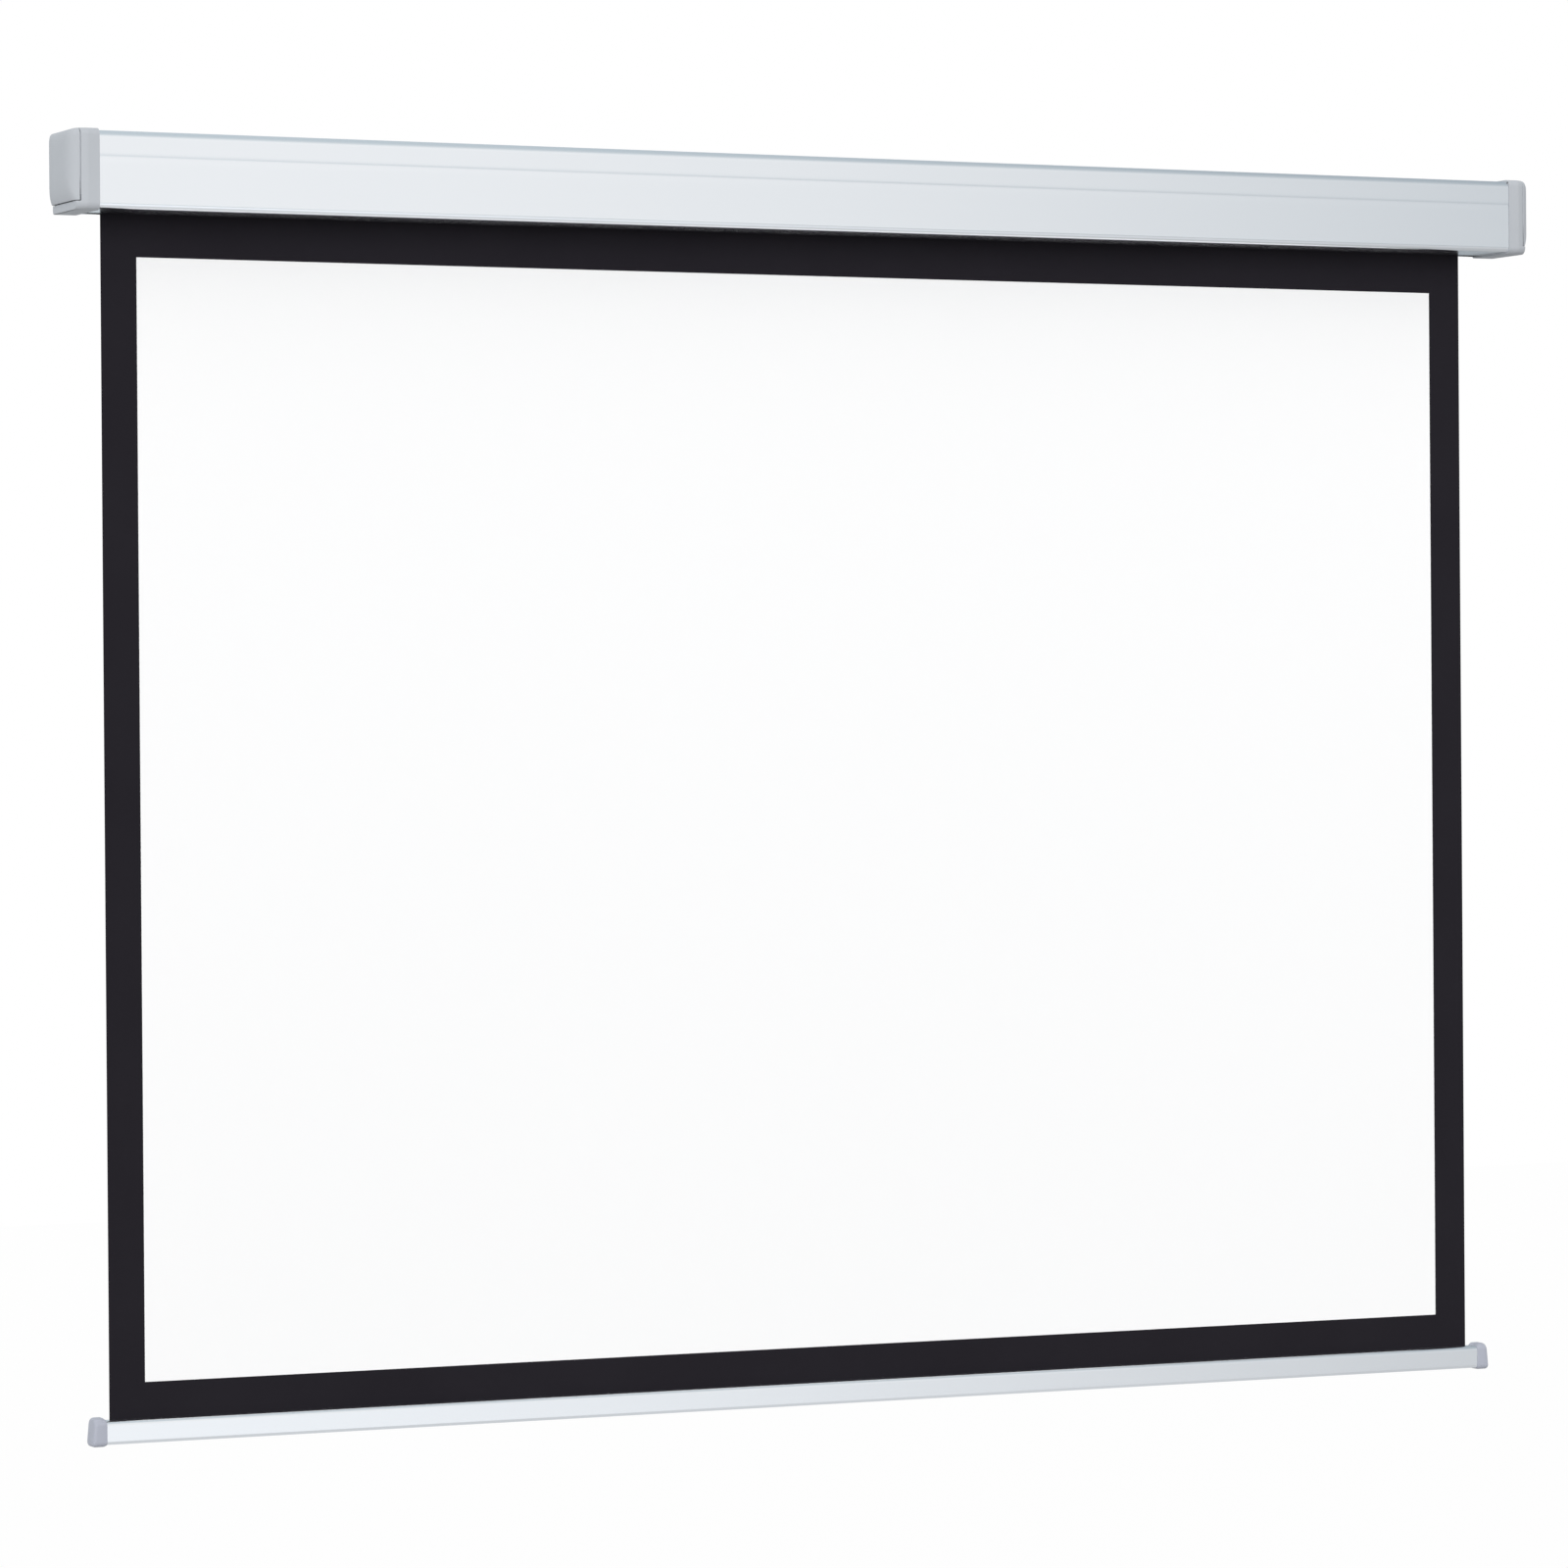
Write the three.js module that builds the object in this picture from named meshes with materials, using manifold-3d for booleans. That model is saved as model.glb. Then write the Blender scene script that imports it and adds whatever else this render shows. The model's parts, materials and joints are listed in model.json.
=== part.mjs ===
// A pull-down projection screen: an extruded aluminium case with a spring roller in it,
// the cloth let down to its full length, and a weight bar at the cloth's lower edge.
// Millimetres. X runs along the case, -Y faces the viewer, +Z is up. The wall is the plane Y = 0,
// and the origin lies on it at the middle of the case.
import * as THREE from "three";
import { mergeVertices } from "three/addons/utils/BufferGeometryUtils.js";
import Module from "manifold-3d";

const wasm = await Module();
wasm.setup();

// Running clearance, and how far a cut runs past what it cuts
const fitGap = 0.3;
const cutOver = 5;
const samePoint = 1e-6;

// Picture and cloth. The picture is 4:3, so its sides are four and three fifths of its diagonal.
const pictureDiagonal = 2133.6;
const pictureWidthShare = 4 / 5;
const pictureHeightShare = 3 / 5;
const sideBorder = 43;
const topBorder = 48;
const bottomBorder = 41;
const clothThickness = 0.4;
const coatThickness = 0.3;
const clothFromBack = 9;
const pictureWidth = pictureDiagonal * pictureWidthShare;
const pictureHeight = pictureDiagonal * pictureHeightShare;
const clothWidth = pictureWidth + 2 * sideBorder;

// Case profile
const caseHeight = 88;
const caseDepth = 87;
const caseWall = 2;
const caseEndRoom = 26.8;
const caseTopRadius = 9;
const caseBottomRadius = 6;
const caseBackRadius = 2.5;
const grooveBelowTop = 31;
const grooveWidth = 8;
const grooveDepth = 0.45;
const slotFrontRoom = 12;
const slotLipHeight = 8;
const portRadius = 4;
const portHoleRadius = 2;
const portInset = 5.5;

// Hanging channel in the back of the case. Its lip is the edge that rests on the wall brackets.
const lipBelowTop = 18;
const channelMouth = 12;
const channelUndercut = 7;
const channelDepth = 6.5;
const channelWall = 1.8;

// Wall brackets
const wallGap = 3;
const bracketThickness = 2.5;
const bracketWidth = 60;
const bracketSpread = 620;
const bracketAboveLip = 14;
const bracketBelowLip = 44;
const hookHeight = 6.5;
const hookThickness = 2;
const wallHoleRadius = 2.6;
const wallHoleMargin = 6;

// End caps and their side covers. Both are cut from one form: straight next to the profile, then domed.
const capProudHeight = 2;
const capProudDepth = 1;
const capStraight = 13.8;
const domeReach = 21.2;
const sideInset = 40;
const topInset = 34;
const sidePower = 4;
const topPower = 5;
const frontLean = 0.36;
const coverRise = 31;
const risePower = 2;
const domeSwell = 0.5;
const capWall = 2.5;
const capCornerRadius = 8;
const capBackRadius = 4;
const webThickness = 2.5;
const webHoleRadius = 10;
const seamFromProfile = 21.2;
const seamWidth = 0.6;
const lipOfCapHeight = 9.7;
const lipOfCapReach = 4.6;
const slitHeight = 0.9;
const coverWall = 2.2;
const rimLength = 5;
const rimWall = 1.6;

// Roller plates and their screws
const plateThickness = 2;
const screwShankRadius = 1.7;
const screwLength = 16;
const screwHeadRadius = 3.6;
const screwHeadHeight = 2.2;
const screwSocketRadius = 1.5;
const screwSocketDepth = 1.2;

// Roller
const tubeRadius = 25;
const tubeWall = 1.4;
const tubeEndRoom = 8.5;
const axisAboveMiddle = -2;
const safetyTurns = 2;
const turnSpacing = 0.95;
const splineRadius = 2;
const splineMouth = 2.2;
const splineWall = 1.2;
const plugLength = 28;
const plugFlange = 2;
const plugFlangeRadius = 24.4;
const idlerPinRadius = 4;
const idlerPinSeat = 24;
const idlerPinReach = 5;
const bushWall = 3.2;
const bushFlangeRadius = 11;
const bushFlange = 2;

// Fixed shaft, spring and lock
const shaftRadius = 4;
const shaftLength = 430;
const shaftReach = 4.5;
const tangThickness = 5;
const cupDepth = 9.5;
const cupWall = 3;
const cupFloor = 3;
const shaftBushWall = 3.5;
const wheelRadius = 11.5;
const wheelThickness = 4;
const wheelOffFloor = 2;
const pawlPivotRadius = 17;
const pawlTipRadius = 14.6;
const pawlTipAngle = Math.PI / 4;
const pawlWidth = 4;
const pawlThickness = 3.4;
const pawlHubRadius = 3.1;
const pawlPinRadius = 1.5;
const pawlEngageAngle = THREE.MathUtils.degToRad(13);
const keeperThickness = 1.5;
const keeperHoleRadius = 7;
const bearingLength = 12;
const anchorRadius = 7.6;
const anchorLength = 24;
const noseLength = 24;
const springRadius = 10;
const springWireRadius = 1.1;
const springTurns = 20;

// Weight bar
const barHeight = 27;
const barFront = 16;
const barBack = 8;
const barWall = 1.6;
const barEndRoom = 8.1;
const barTopRadius = 5;
const barBottomRadius = 4;
const barBackRadius = 5;
const hemDepth = 7.5;
const hemChannelRadius = 3.4;
const hemChannelWall = 1.5;
const hemSlot = 1.4;
const hemRodRadius = 2.2;
const ballastRadius = 4.5;
const ballastEndRoom = 30;
const barCapLength = 17;
const barCapProudTop = 3.5;
const barCapProudBottom = 2;
const barCapProudSide = 1;
const barCapChamfer = 2.5;
const barCapRound = 4;
const barCapTopRadius = 8.5;
const barCapBottomRadius = 6;
const barCapBackRadius = 7;
const barCapLean = 2.5;
const barSpigotLength = 18;

// Counts of flats on round stretches
const arcSteps = 4;
const roundSides = 32;
const smallSides = 16;
const spiralSteps = 40;
const springSteps = 8;
const springSides = 5;
const domeSteps = 6;
const endSteps = 3;

// Places that follow from the sizes above
const caseBackY = -wallGap;
const caseFrontY = caseBackY - caseDepth;
const caseTopZ = caseHeight / 2;
const caseBottomZ = -caseHeight / 2;
const hangingLipZ = caseTopZ - lipBelowTop;
const caseHalf = clothWidth / 2 + caseEndRoom;
const tubeHalf = clothWidth / 2 + tubeEndRoom;
const windRadius = tubeRadius + fitGap + clothThickness + safetyTurns * turnSpacing;
const clothBehindRoller = windRadius + fitGap + clothThickness / 2;
const clothY = caseBackY - clothFromBack;
const axisY = clothY - clothBehindRoller;
const axisZ = axisAboveMiddle;
const pictureTopZ = caseBottomZ - topBorder;
const barTopZ = pictureTopZ - pictureHeight - bottomBorder;

// Colours and finishes
function finish(color, roughness, metalness) {
  return new THREE.MeshStandardMaterial({ color, roughness, metalness });
}
const anodised = finish(0xdfe3e8, 0.38, 0.75);
const greyPlastic = finish(0xb4b9bf, 0.5, 0);
const blackCloth = finish(0x232128, 0.85, 0);
const whiteCoat = finish(0xffffff, 0.9, 0);
const zincSteel = finish(0xb9bcc0, 0.35, 0.9);
const springSteel = finish(0x5b5f66, 0.4, 0.85);
const nylon = finish(0xe8e6dd, 0.55, 0);
const brassYellow = finish(0xb89a58, 0.35, 0.9);

// Joining and cutting

function solid(geometry) {
  const bare = geometry.clone();
  bare.deleteAttribute("normal");
  bare.deleteAttribute("uv");
  const merged = mergeVertices(bare, 1e-4);
  return new wasm.Manifold(
    new wasm.Mesh({
      numProp: 3,
      vertProperties: new Float32Array(merged.attributes.position.array),
      triVerts: new Uint32Array(merged.index.array),
    }),
  );
}

function geometryOf(made) {
  const { numProp, numVert, vertProperties, triVerts } = made.getMesh();
  const positions = new Float32Array(numVert * 3);
  for (let i = 0; i < numVert; i++) {
    positions.set(vertProperties.subarray(i * numProp, i * numProp + 3), i * 3);
  }
  const geometry = new THREE.BufferGeometry();
  geometry.setAttribute("position", new THREE.BufferAttribute(positions, 3));
  geometry.setIndex(new THREE.BufferAttribute(triVerts, 1));
  geometry.computeVertexNormals();
  return geometry;
}

function named(name, made, material) {
  const mesh = new THREE.Mesh(geometryOf(made), material);
  mesh.name = name;
  return mesh;
}

// Basic solids. A section is drawn with Y to the right and Z up, and runs along X.

const alongX = new THREE.Matrix4().makeBasis(
  new THREE.Vector3(0, 1, 0),
  new THREE.Vector3(0, 0, 1),
  new THREE.Vector3(1, 0, 0),
);

function prism(shape, xFrom, xTo) {
  const options = { depth: xTo - xFrom, bevelEnabled: false, curveSegments: arcSteps };
  const geometry = new THREE.ExtrudeGeometry(shape, options);
  return solid(geometry.applyMatrix4(alongX).translate(xFrom, 0, 0));
}

function rod(radius, xFrom, xTo, y = 0, z = 0, sides = roundSides) {
  const geometry = new THREE.CylinderGeometry(radius, radius, xTo - xFrom, sides);
  return solid(geometry.rotateZ(-Math.PI / 2).translate((xFrom + xTo) / 2, y, z));
}

function rodAlongY(radius, x, z, yFrom, yTo) {
  const geometry = new THREE.CylinderGeometry(radius, radius, yTo - yFrom, smallSides);
  return solid(geometry.translate(x, (yFrom + yTo) / 2, z));
}

function block(x0, x1, y0, y1, z0, z1) {
  const geometry = new THREE.BoxGeometry(x1 - x0, y1 - y0, z1 - z0);
  return solid(geometry.translate((x0 + x1) / 2, (y0 + y1) / 2, (z0 + z1) / 2));
}

// A closed skin over rings that all have the same number of points, listed along +X
function skin(rings) {
  const count = rings[0].length;
  const positions = rings.flat().flatMap((p) => [p.x, p.y, p.z]);
  const index = [];
  for (let r = 0; r + 1 < rings.length; r++) {
    for (let i = 0; i < count; i++) {
      const a = r * count + i;
      const b = r * count + ((i + 1) % count);
      index.push(a, b, b + count, a, b + count, a + count);
    }
  }
  const last = (rings.length - 1) * count;
  for (let i = 1; i + 1 < count; i++) {
    index.push(0, i + 1, i, last, last + i, last + i + 1);
  }
  const geometry = new THREE.BufferGeometry();
  geometry.setAttribute("position", new THREE.Float32BufferAttribute(positions, 3));
  geometry.setIndex(index);
  return solid(geometry);
}

function ringAt(shape, x) {
  const flat = shape.getPoints(arcSteps);
  const closes = flat[0].distanceTo(flat[flat.length - 1]) < samePoint;
  return (closes ? flat.slice(0, -1) : flat).map((p) => new THREE.Vector3(x, p.x, p.y));
}

// Rounded section of case, caps and weight bar: the two corners at the back share one radius
function section(front, back, bottom, top, topRadius, bottomRadius, backRadius) {
  const right = Math.PI / 2;
  const shape = new THREE.Shape();
  shape.moveTo(back - backRadius, top);
  shape.absarc(front + topRadius, top - topRadius, topRadius, right, 2 * right);
  shape.absarc(front + bottomRadius, bottom + bottomRadius, bottomRadius, 2 * right, 3 * right);
  shape.absarc(back - backRadius, bottom + backRadius, backRadius, -right, 0);
  shape.absarc(back - backRadius, top - backRadius, backRadius, 0, right);
  return shape;
}

function caseSection(inset) {
  const radius = (r) => Math.max(r - inset, fitGap);
  return section(
    caseFrontY + inset,
    caseBackY - inset,
    caseBottomZ + inset,
    caseTopZ - inset,
    radius(caseTopRadius),
    radius(caseBottomRadius),
    radius(caseBackRadius),
  );
}

// Section of the end caps, standing proud of the profile. A dome draws in each of its four sides,
// and its corners get rounder with the top.
function capSection(inset, { front = 0, back = 0, top = 0, bottom = 0 } = {}) {
  const frontY = caseFrontY - capProudDepth + inset + front;
  const backY = caseBackY + capProudDepth - inset - back;
  const bottomZ = caseBottomZ - capProudHeight + inset + bottom;
  const topZ = caseTopZ + capProudHeight - inset - top;
  const largest = Math.min(backY - frontY, topZ - bottomZ) / 2 - fitGap;
  const radius = (r) => {
    return Math.min(Math.max(r - inset, fitGap) + domeSwell * top, largest);
  };
  const corner = radius(capCornerRadius);
  return section(frontY, backY, bottomZ, topZ, corner, corner, radius(capBackRadius));
}

// Case profile

const portPlaces = [
  [caseFrontY + portInset, caseTopZ - portInset],
  [caseFrontY + portInset, caseBottomZ + portInset],
  [caseBackY - portInset, caseTopZ - portInset],
];

function caseProfile() {
  const cut = caseHalf + cutOver;
  let made = prism(caseSection(0), -caseHalf, caseHalf);
  made = made.subtract(prism(caseSection(caseWall), -cut, cut));

  // Hanging channel: a pocket in the back wall, wider inside than at its mouth
  const mouthTop = hangingLipZ;
  const mouthBottom = mouthTop - channelMouth;
  const pocketTop = mouthTop + channelUndercut;
  const pocketY = caseBackY - channelDepth;
  const shellTop = pocketTop + channelWall;
  const shellBottom = mouthBottom - channelWall;
  const innerBack = caseBackY - caseWall;
  const innerTop = caseTopZ - caseWall;
  made = made.add(
    block(-caseHalf, caseHalf, pocketY - channelWall, innerBack, shellBottom, shellTop),
  );
  made = made.subtract(block(-cut, cut, pocketY, innerBack, mouthBottom, pocketTop));
  made = made.subtract(
    block(-cut, cut, pocketY, caseBackY + cutOver, mouthBottom, mouthTop),
  );

  // Ports for the plate screws. The one at the back stands on the channel and fills its corner.
  for (const [y, z] of portPlaces) {
    made = made.add(rod(portRadius, -caseHalf, caseHalf, y, z, smallSides));
  }
  const backPortY = caseBackY - portInset;
  made = made.add(block(-caseHalf, caseHalf, backPortY, innerBack, pocketTop, innerTop));
  for (const [y, z] of portPlaces) {
    made = made.subtract(rod(portHoleRadius, -cut, cut, y, z, smallSides));
  }

  // Cloth slot below, with an upturned lip along its front edge
  const slotFront = clothY - slotFrontRoom;
  const lipTop = caseBottomZ + slotLipHeight;
  made = made.add(
    block(-caseHalf, caseHalf, slotFront - caseWall, slotFront, caseBottomZ, lipTop),
  );
  const floorTop = caseBottomZ + caseWall + caseBackRadius;
  made = made.subtract(
    block(-cut, cut, slotFront, innerBack, caseBottomZ - cutOver, floorTop),
  );

  // Soft groove along the front
  const grooveZ = caseTopZ - grooveBelowTop;
  const groove = new THREE.Shape();
  groove.moveTo(caseFrontY - cutOver, grooveZ + grooveWidth / 2);
  groove.lineTo(caseFrontY, grooveZ + grooveWidth / 2);
  groove.quadraticCurveTo(
    caseFrontY + 2 * grooveDepth,
    grooveZ,
    caseFrontY,
    grooveZ - grooveWidth / 2,
  );
  groove.lineTo(caseFrontY - cutOver, grooveZ - grooveWidth / 2);
  return made.subtract(prism(groove, -cut, cut));
}

// End pieces, made for the right end and mirrored for the left

const plateX = caseHalf + plateThickness;
const plateInset = capWall - Math.min(capProudDepth, capProudHeight) + fitGap;
const webX = plateX + webThickness;
const domeX = caseHalf + capStraight;
const seamX = caseHalf + seamFromProfile;
const coverX = seamX + seamWidth;
const lipTopZ = caseBottomZ - capProudHeight + lipOfCapHeight;
const coverBottomZ = lipTopZ + slitHeight;

// A superellipse's way inwards, from 0 to 1, for its way along
function rounding(along, power) {
  return 1 - Math.max(1 - along ** power, 0) ** (1 / power);
}

// How far the dome draws in each side at a place along X. Its front leans back from the start.
function drawnInAt(x) {
  const along = (x - domeX) / domeReach;
  const leaned = frontLean * domeReach;
  const front = leaned * along + (sideInset - leaned) * rounding(along, sidePower);
  const back = sideInset * rounding(along, sidePower);
  const top = topInset * rounding(along, topPower);
  return { front, back, top, bottom: top + coverRise * rounding(along, risePower) };
}

// The form of cap and cover from the profile out. The lip's form keeps its full height.
function endForm(inset, shift, isLip) {
  const rings = [ringAt(capSection(inset), caseHalf)];
  for (let k = 0; k <= domeSteps; k++) {
    const turn = (k / domeSteps) * (Math.PI / 2);
    const x = domeX + domeReach * Math.sin(turn) ** (2 / topPower);
    const { front, back, top, bottom } = drawnInAt(x);
    const sides = isLip ? { front, back } : { front, back, top, bottom };
    rings.push(ringAt(capSection(inset, sides), x - shift));
  }
  return skin(rings);
}

// What an end form is cut down to: everything between two places along X and two heights
function slab(xFrom, xTo, zFrom, zTo) {
  return block(xFrom, xTo, caseFrontY - cutOver, caseBackY + cutOver, zFrom, zTo);
}

const farX = domeX + domeReach + cutOver;
const farTopZ = caseTopZ + cutOver;
const farBottomZ = caseBottomZ - cutOver;

function endCap() {
  const ring = endForm(0, 0, false).intersect(slab(caseHalf, seamX, farBottomZ, farTopZ));
  const lipEnd = coverX + lipOfCapReach;
  const lip = endForm(0, 0, true).intersect(slab(caseHalf, lipEnd, farBottomZ, lipTopZ));
  let made = ring.add(lip);

  // Hollow on both sides of the web that the screws clamp. It narrows where the dome begins.
  const mouth = capSection(capWall, drawnInAt(seamX));
  made = made.subtract(prism(capSection(capWall), caseHalf - cutOver, plateX));
  made = made.subtract(prism(capSection(capWall), webX, domeX));
  made = made.subtract(prism(mouth, domeX - cutOver, seamX - capWall));
  made = made.subtract(
    prism(mouth, domeX, farX).intersect(slab(domeX, farX, lipTopZ, farTopZ)),
  );
  made = made.subtract(rod(webHoleRadius, caseHalf, webX + cutOver, axisY, axisZ));
  for (const [y, z] of portPlaces) {
    const hole = screwShankRadius + fitGap;
    made = made.subtract(rod(hole, caseHalf, webX + cutOver, y, z, smallSides));
  }
  return made;
}

function sideCover() {
  const outer = endForm(0, 0, false).intersect(slab(coverX, farX, coverBottomZ, farTopZ));
  const floorZ = coverBottomZ + coverWall;
  const inner = endForm(coverWall, coverWall, false).intersect(
    slab(caseHalf, farX, floorZ, farTopZ),
  );

  // Snap rim that enters the cap
  const rimSides = { ...drawnInAt(seamX), bottom: lipOfCapHeight + slitHeight };
  const rimInset = capWall + fitGap;
  const rimFrom = seamX - rimLength;
  const rimTo = coverX + coverWall;
  const rim = prism(capSection(rimInset, rimSides), rimFrom, rimTo).subtract(
    prism(capSection(rimInset + rimWall, rimSides), rimFrom - cutOver, rimTo + cutOver),
  );
  return outer.subtract(inner).add(rim);
}

function plate(opening) {
  let made = prism(caseSection(plateInset), caseHalf, plateX);
  for (const [y, z] of portPlaces) {
    const hole = screwShankRadius + fitGap;
    made = made.subtract(rod(hole, caseHalf - cutOver, plateX + cutOver, y, z, smallSides));
  }

  // Room for the cloth slot of the profile
  const slotFront = clothY - slotFrontRoom;
  const slotBack = caseBackY - caseWall;
  const slotTop = caseBottomZ + slotLipHeight;
  const slot = block(
    caseHalf - cutOver,
    plateX + cutOver,
    slotFront,
    slotBack,
    caseBottomZ - cutOver,
    slotTop,
  );
  return made.subtract(slot).subtract(opening);
}

// A pan-head screw along X, its head's seat at X = 0
function plateScrew() {
  const top = screwHeadHeight + cutOver;
  const socket = rod(screwSocketRadius, screwHeadHeight - screwSocketDepth, top, 0, 0, 6);
  return rod(screwShankRadius, -screwLength, 0, 0, 0, smallSides)
    .add(rod(screwHeadRadius, 0, screwHeadHeight, 0, 0, smallSides))
    .subtract(socket);
}

function endPieces(side, opening) {
  const end = new THREE.Group();
  end.add(named(side + "_end_cap", endCap(), greyPlastic));
  end.add(named(side + "_side_cover", sideCover(), greyPlastic));
  end.add(named(side + "_roller_bracket", plate(opening), zincSteel));
  portPlaces.forEach(([y, z], i) => {
    const screw = named(side + "_bracket_screw_" + (i + 1), plateScrew(), zincSteel);
    screw.position.set(webX, y, z);
    end.add(screw);
  });
  return end;
}

// Wall bracket: a plate on the wall with a hook that the case's back lip drops onto
function wallBracket() {
  const plateY = -bracketThickness;
  const webTop = hangingLipZ - fitGap;
  const plateTop = hangingLipZ + bracketAboveLip;
  const plateBottom = hangingLipZ - bracketBelowLip;
  const webBottom = webTop - hookThickness;
  const hookBackY = caseBackY - caseWall - fitGap;
  const hookFrontY = hookBackY - hookThickness;
  const half = bracketWidth / 2;
  let made = block(-half, half, plateY, 0, plateBottom, plateTop);
  made = made.add(block(-half, half, hookFrontY, plateY / 2, webBottom, webTop));
  made = made.add(
    block(-half, half, hookFrontY, hookBackY, webBottom, webBottom + hookHeight),
  );
  for (const z of [plateTop - wallHoleMargin, plateBottom + wallHoleMargin]) {
    made = made.subtract(rodAlongY(wallHoleRadius, 0, z, plateY - cutOver, cutOver));
  }
  return made;
}

// Roller, modelled about its own axis

const tubeInner = tubeRadius - tubeWall;
const plugRadius = tubeInner - fitGap;
const splineDepth = tubeRadius - splineRadius - splineWall / 2;

// The tube has a keyhole groove along it, where the spline holds the cloth's upper edge
function rollerTube() {
  const cut = tubeHalf + cutOver;
  const grooveRadius = splineRadius + fitGap;
  const shellRadius = grooveRadius + splineWall;
  let made = rod(tubeRadius, -tubeHalf, tubeHalf);
  made = made.subtract(rod(tubeInner, -cut, cut));
  const shell = rod(shellRadius, -tubeHalf, tubeHalf, -splineDepth, 0, smallSides);
  made = made.add(shell.intersect(rod(tubeRadius, -tubeHalf, tubeHalf)));
  made = made.subtract(rod(grooveRadius, -cut, cut, -splineDepth, 0, smallSides));
  const mouth = splineMouth / 2;
  return made.subtract(block(-cut, cut, -tubeRadius - cutOver, -splineDepth, -mouth, mouth));
}

// The safety turns: one strip whose radius falls as it goes round from the back of the roller
function woundCloth() {
  const steps = Math.round(spiralSteps * safetyTurns);
  const at = (k, thickness) => {
    const turn = (k / spiralSteps) * 2 * Math.PI;
    const radius = windRadius - thickness - (turnSpacing * k) / spiralSteps;
    return new THREE.Vector2(radius * Math.cos(turn), radius * Math.sin(turn));
  };
  const outer = [];
  const inner = [];
  for (let k = 0; k <= steps; k++) {
    outer.push(at(k, 0));
    inner.push(at(k, clothThickness));
  }
  const half = clothWidth / 2;
  return prism(new THREE.Shape([...outer, ...inner.reverse()]), -half, half);
}

// Room in the end plugs and the bearing for the groove's shell inside the tube
function shellRoom(xFrom, xTo) {
  const radius = splineRadius + 2 * fitGap + splineWall;
  return rod(radius, xFrom - cutOver, xTo, -splineDepth, 0, smallSides);
}

function idlerPlug() {
  const inner = -tubeHalf + plugLength;
  const outer = -tubeHalf - plugFlange;
  const bore = idlerPinRadius + fitGap;
  return rod(plugRadius, -tubeHalf, inner)
    .subtract(shellRoom(-tubeHalf, inner + cutOver))
    .add(rod(plugFlangeRadius, outer, -tubeHalf))
    .subtract(rod(bore, outer - cutOver, -tubeHalf + idlerPinSeat + fitGap, 0, 0, smallSides));
}

function idlerPin() {
  const seat = -tubeHalf + idlerPinSeat;
  return rod(idlerPinRadius, -plateX - idlerPinReach, seat, 0, 0, smallSides);
}

function idlerBush() {
  const bore = idlerPinRadius + fitGap;
  const flangeX = -caseHalf + bushFlange;
  return rod(bore + bushWall, -plateX, flangeX)
    .add(rod(bushFlangeRadius, -caseHalf, flangeX))
    .subtract(rod(bore, -plateX - cutOver, flangeX + cutOver, 0, 0, smallSides));
}

const cupFloorX = tubeHalf + cupFloor;
const cupMouthX = cupFloorX + cupDepth;
const cupRadius = plugFlangeRadius - cupWall;
const wheelX = cupFloorX + wheelOffFloor;
const shaftBushRadius = shaftRadius + fitGap + shaftBushWall;

// A pawl drawn about its pivot, pointing to its tip. It is grown to cut the notch that it drops into.
function pawlOutline(grow) {
  const dy = pawlTipRadius * Math.cos(pawlTipAngle) - pawlPivotRadius;
  const dz = pawlTipRadius * Math.sin(pawlTipAngle);
  const length = Math.hypot(dy, dz);
  const half = pawlWidth / 2 + grow;
  const shape = new THREE.Shape();
  shape.moveTo(0, -half);
  shape.lineTo(length + grow, -half);
  shape.lineTo(length + grow, half);
  shape.lineTo(0, half);
  return { shape, direction: Math.atan2(dz, dy) };
}

function pawlSolid(grow, xFrom, xTo) {
  const { shape, direction } = pawlOutline(grow);
  const hub = rod(pawlHubRadius + grow, xFrom, xTo, 0, 0, smallSides);
  return { made: prism(shape, xFrom, xTo).add(hub), direction };
}

function pawl() {
  const from = wheelX + (wheelThickness - pawlThickness) / 2;
  const { made, direction } = pawlSolid(0, from, from + pawlThickness);
  const bore = pawlPinRadius + fitGap;
  const bored = made.subtract(rod(bore, from - cutOver, from + wheelThickness, 0, 0, smallSides));
  return { made: bored, direction };
}

function tang(grow, xFrom, xTo) {
  const half = tangThickness / 2 + grow;
  const wide = shaftRadius + grow + cutOver;
  return rod(shaftRadius + grow, xFrom, xTo, 0, 0, smallSides).intersect(
    block(xFrom, xTo, -wide, wide, -half, half),
  );
}

function ratchetWheel() {
  const end = wheelX + wheelThickness;
  let made = rod(wheelRadius, wheelX, end);
  made = made.subtract(tang(fitGap, wheelX - cutOver, end + cutOver));
  for (const half of [0, Math.PI]) {
    const { made: notch, direction } = pawlSolid(fitGap, wheelX - cutOver, end + cutOver);
    const turned = solid(
      geometryOf(notch)
        .rotateX(direction + pawlEngageAngle)
        .translate(0, pawlPivotRadius, 0)
        .rotateX(half),
    );
    made = made.subtract(turned);
  }
  return made;
}

function drivePlug() {
  const inner = tubeHalf - plugLength;
  const nose = inner - noseLength;
  const bush = shaftBushRadius + fitGap;
  const mouth = cupMouthX + cutOver;
  let made = rod(plugRadius, inner, tubeHalf).subtract(shellRoom(inner, tubeHalf));
  made = made.add(rod(plugFlangeRadius, tubeHalf, cupMouthX));
  made = made.subtract(rod(cupRadius, cupFloorX, mouth));
  made = made.subtract(rod(bush, inner + plugFlange, mouth));
  made = made.add(rod(anchorRadius, nose, inner + plugFlange, 0, 0, smallSides));
  made = made.subtract(rod(shaftRadius + 2 * fitGap, nose - cutOver, mouth, 0, 0, smallSides));
  for (const side of [-1, 1]) {
    const pin = pawlPinRadius + fitGap;
    const y = side * pawlPivotRadius;
    made = made.subtract(rod(pin, tubeHalf - plugFlange, mouth, y, 0, smallSides));
  }
  return made;
}

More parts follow.
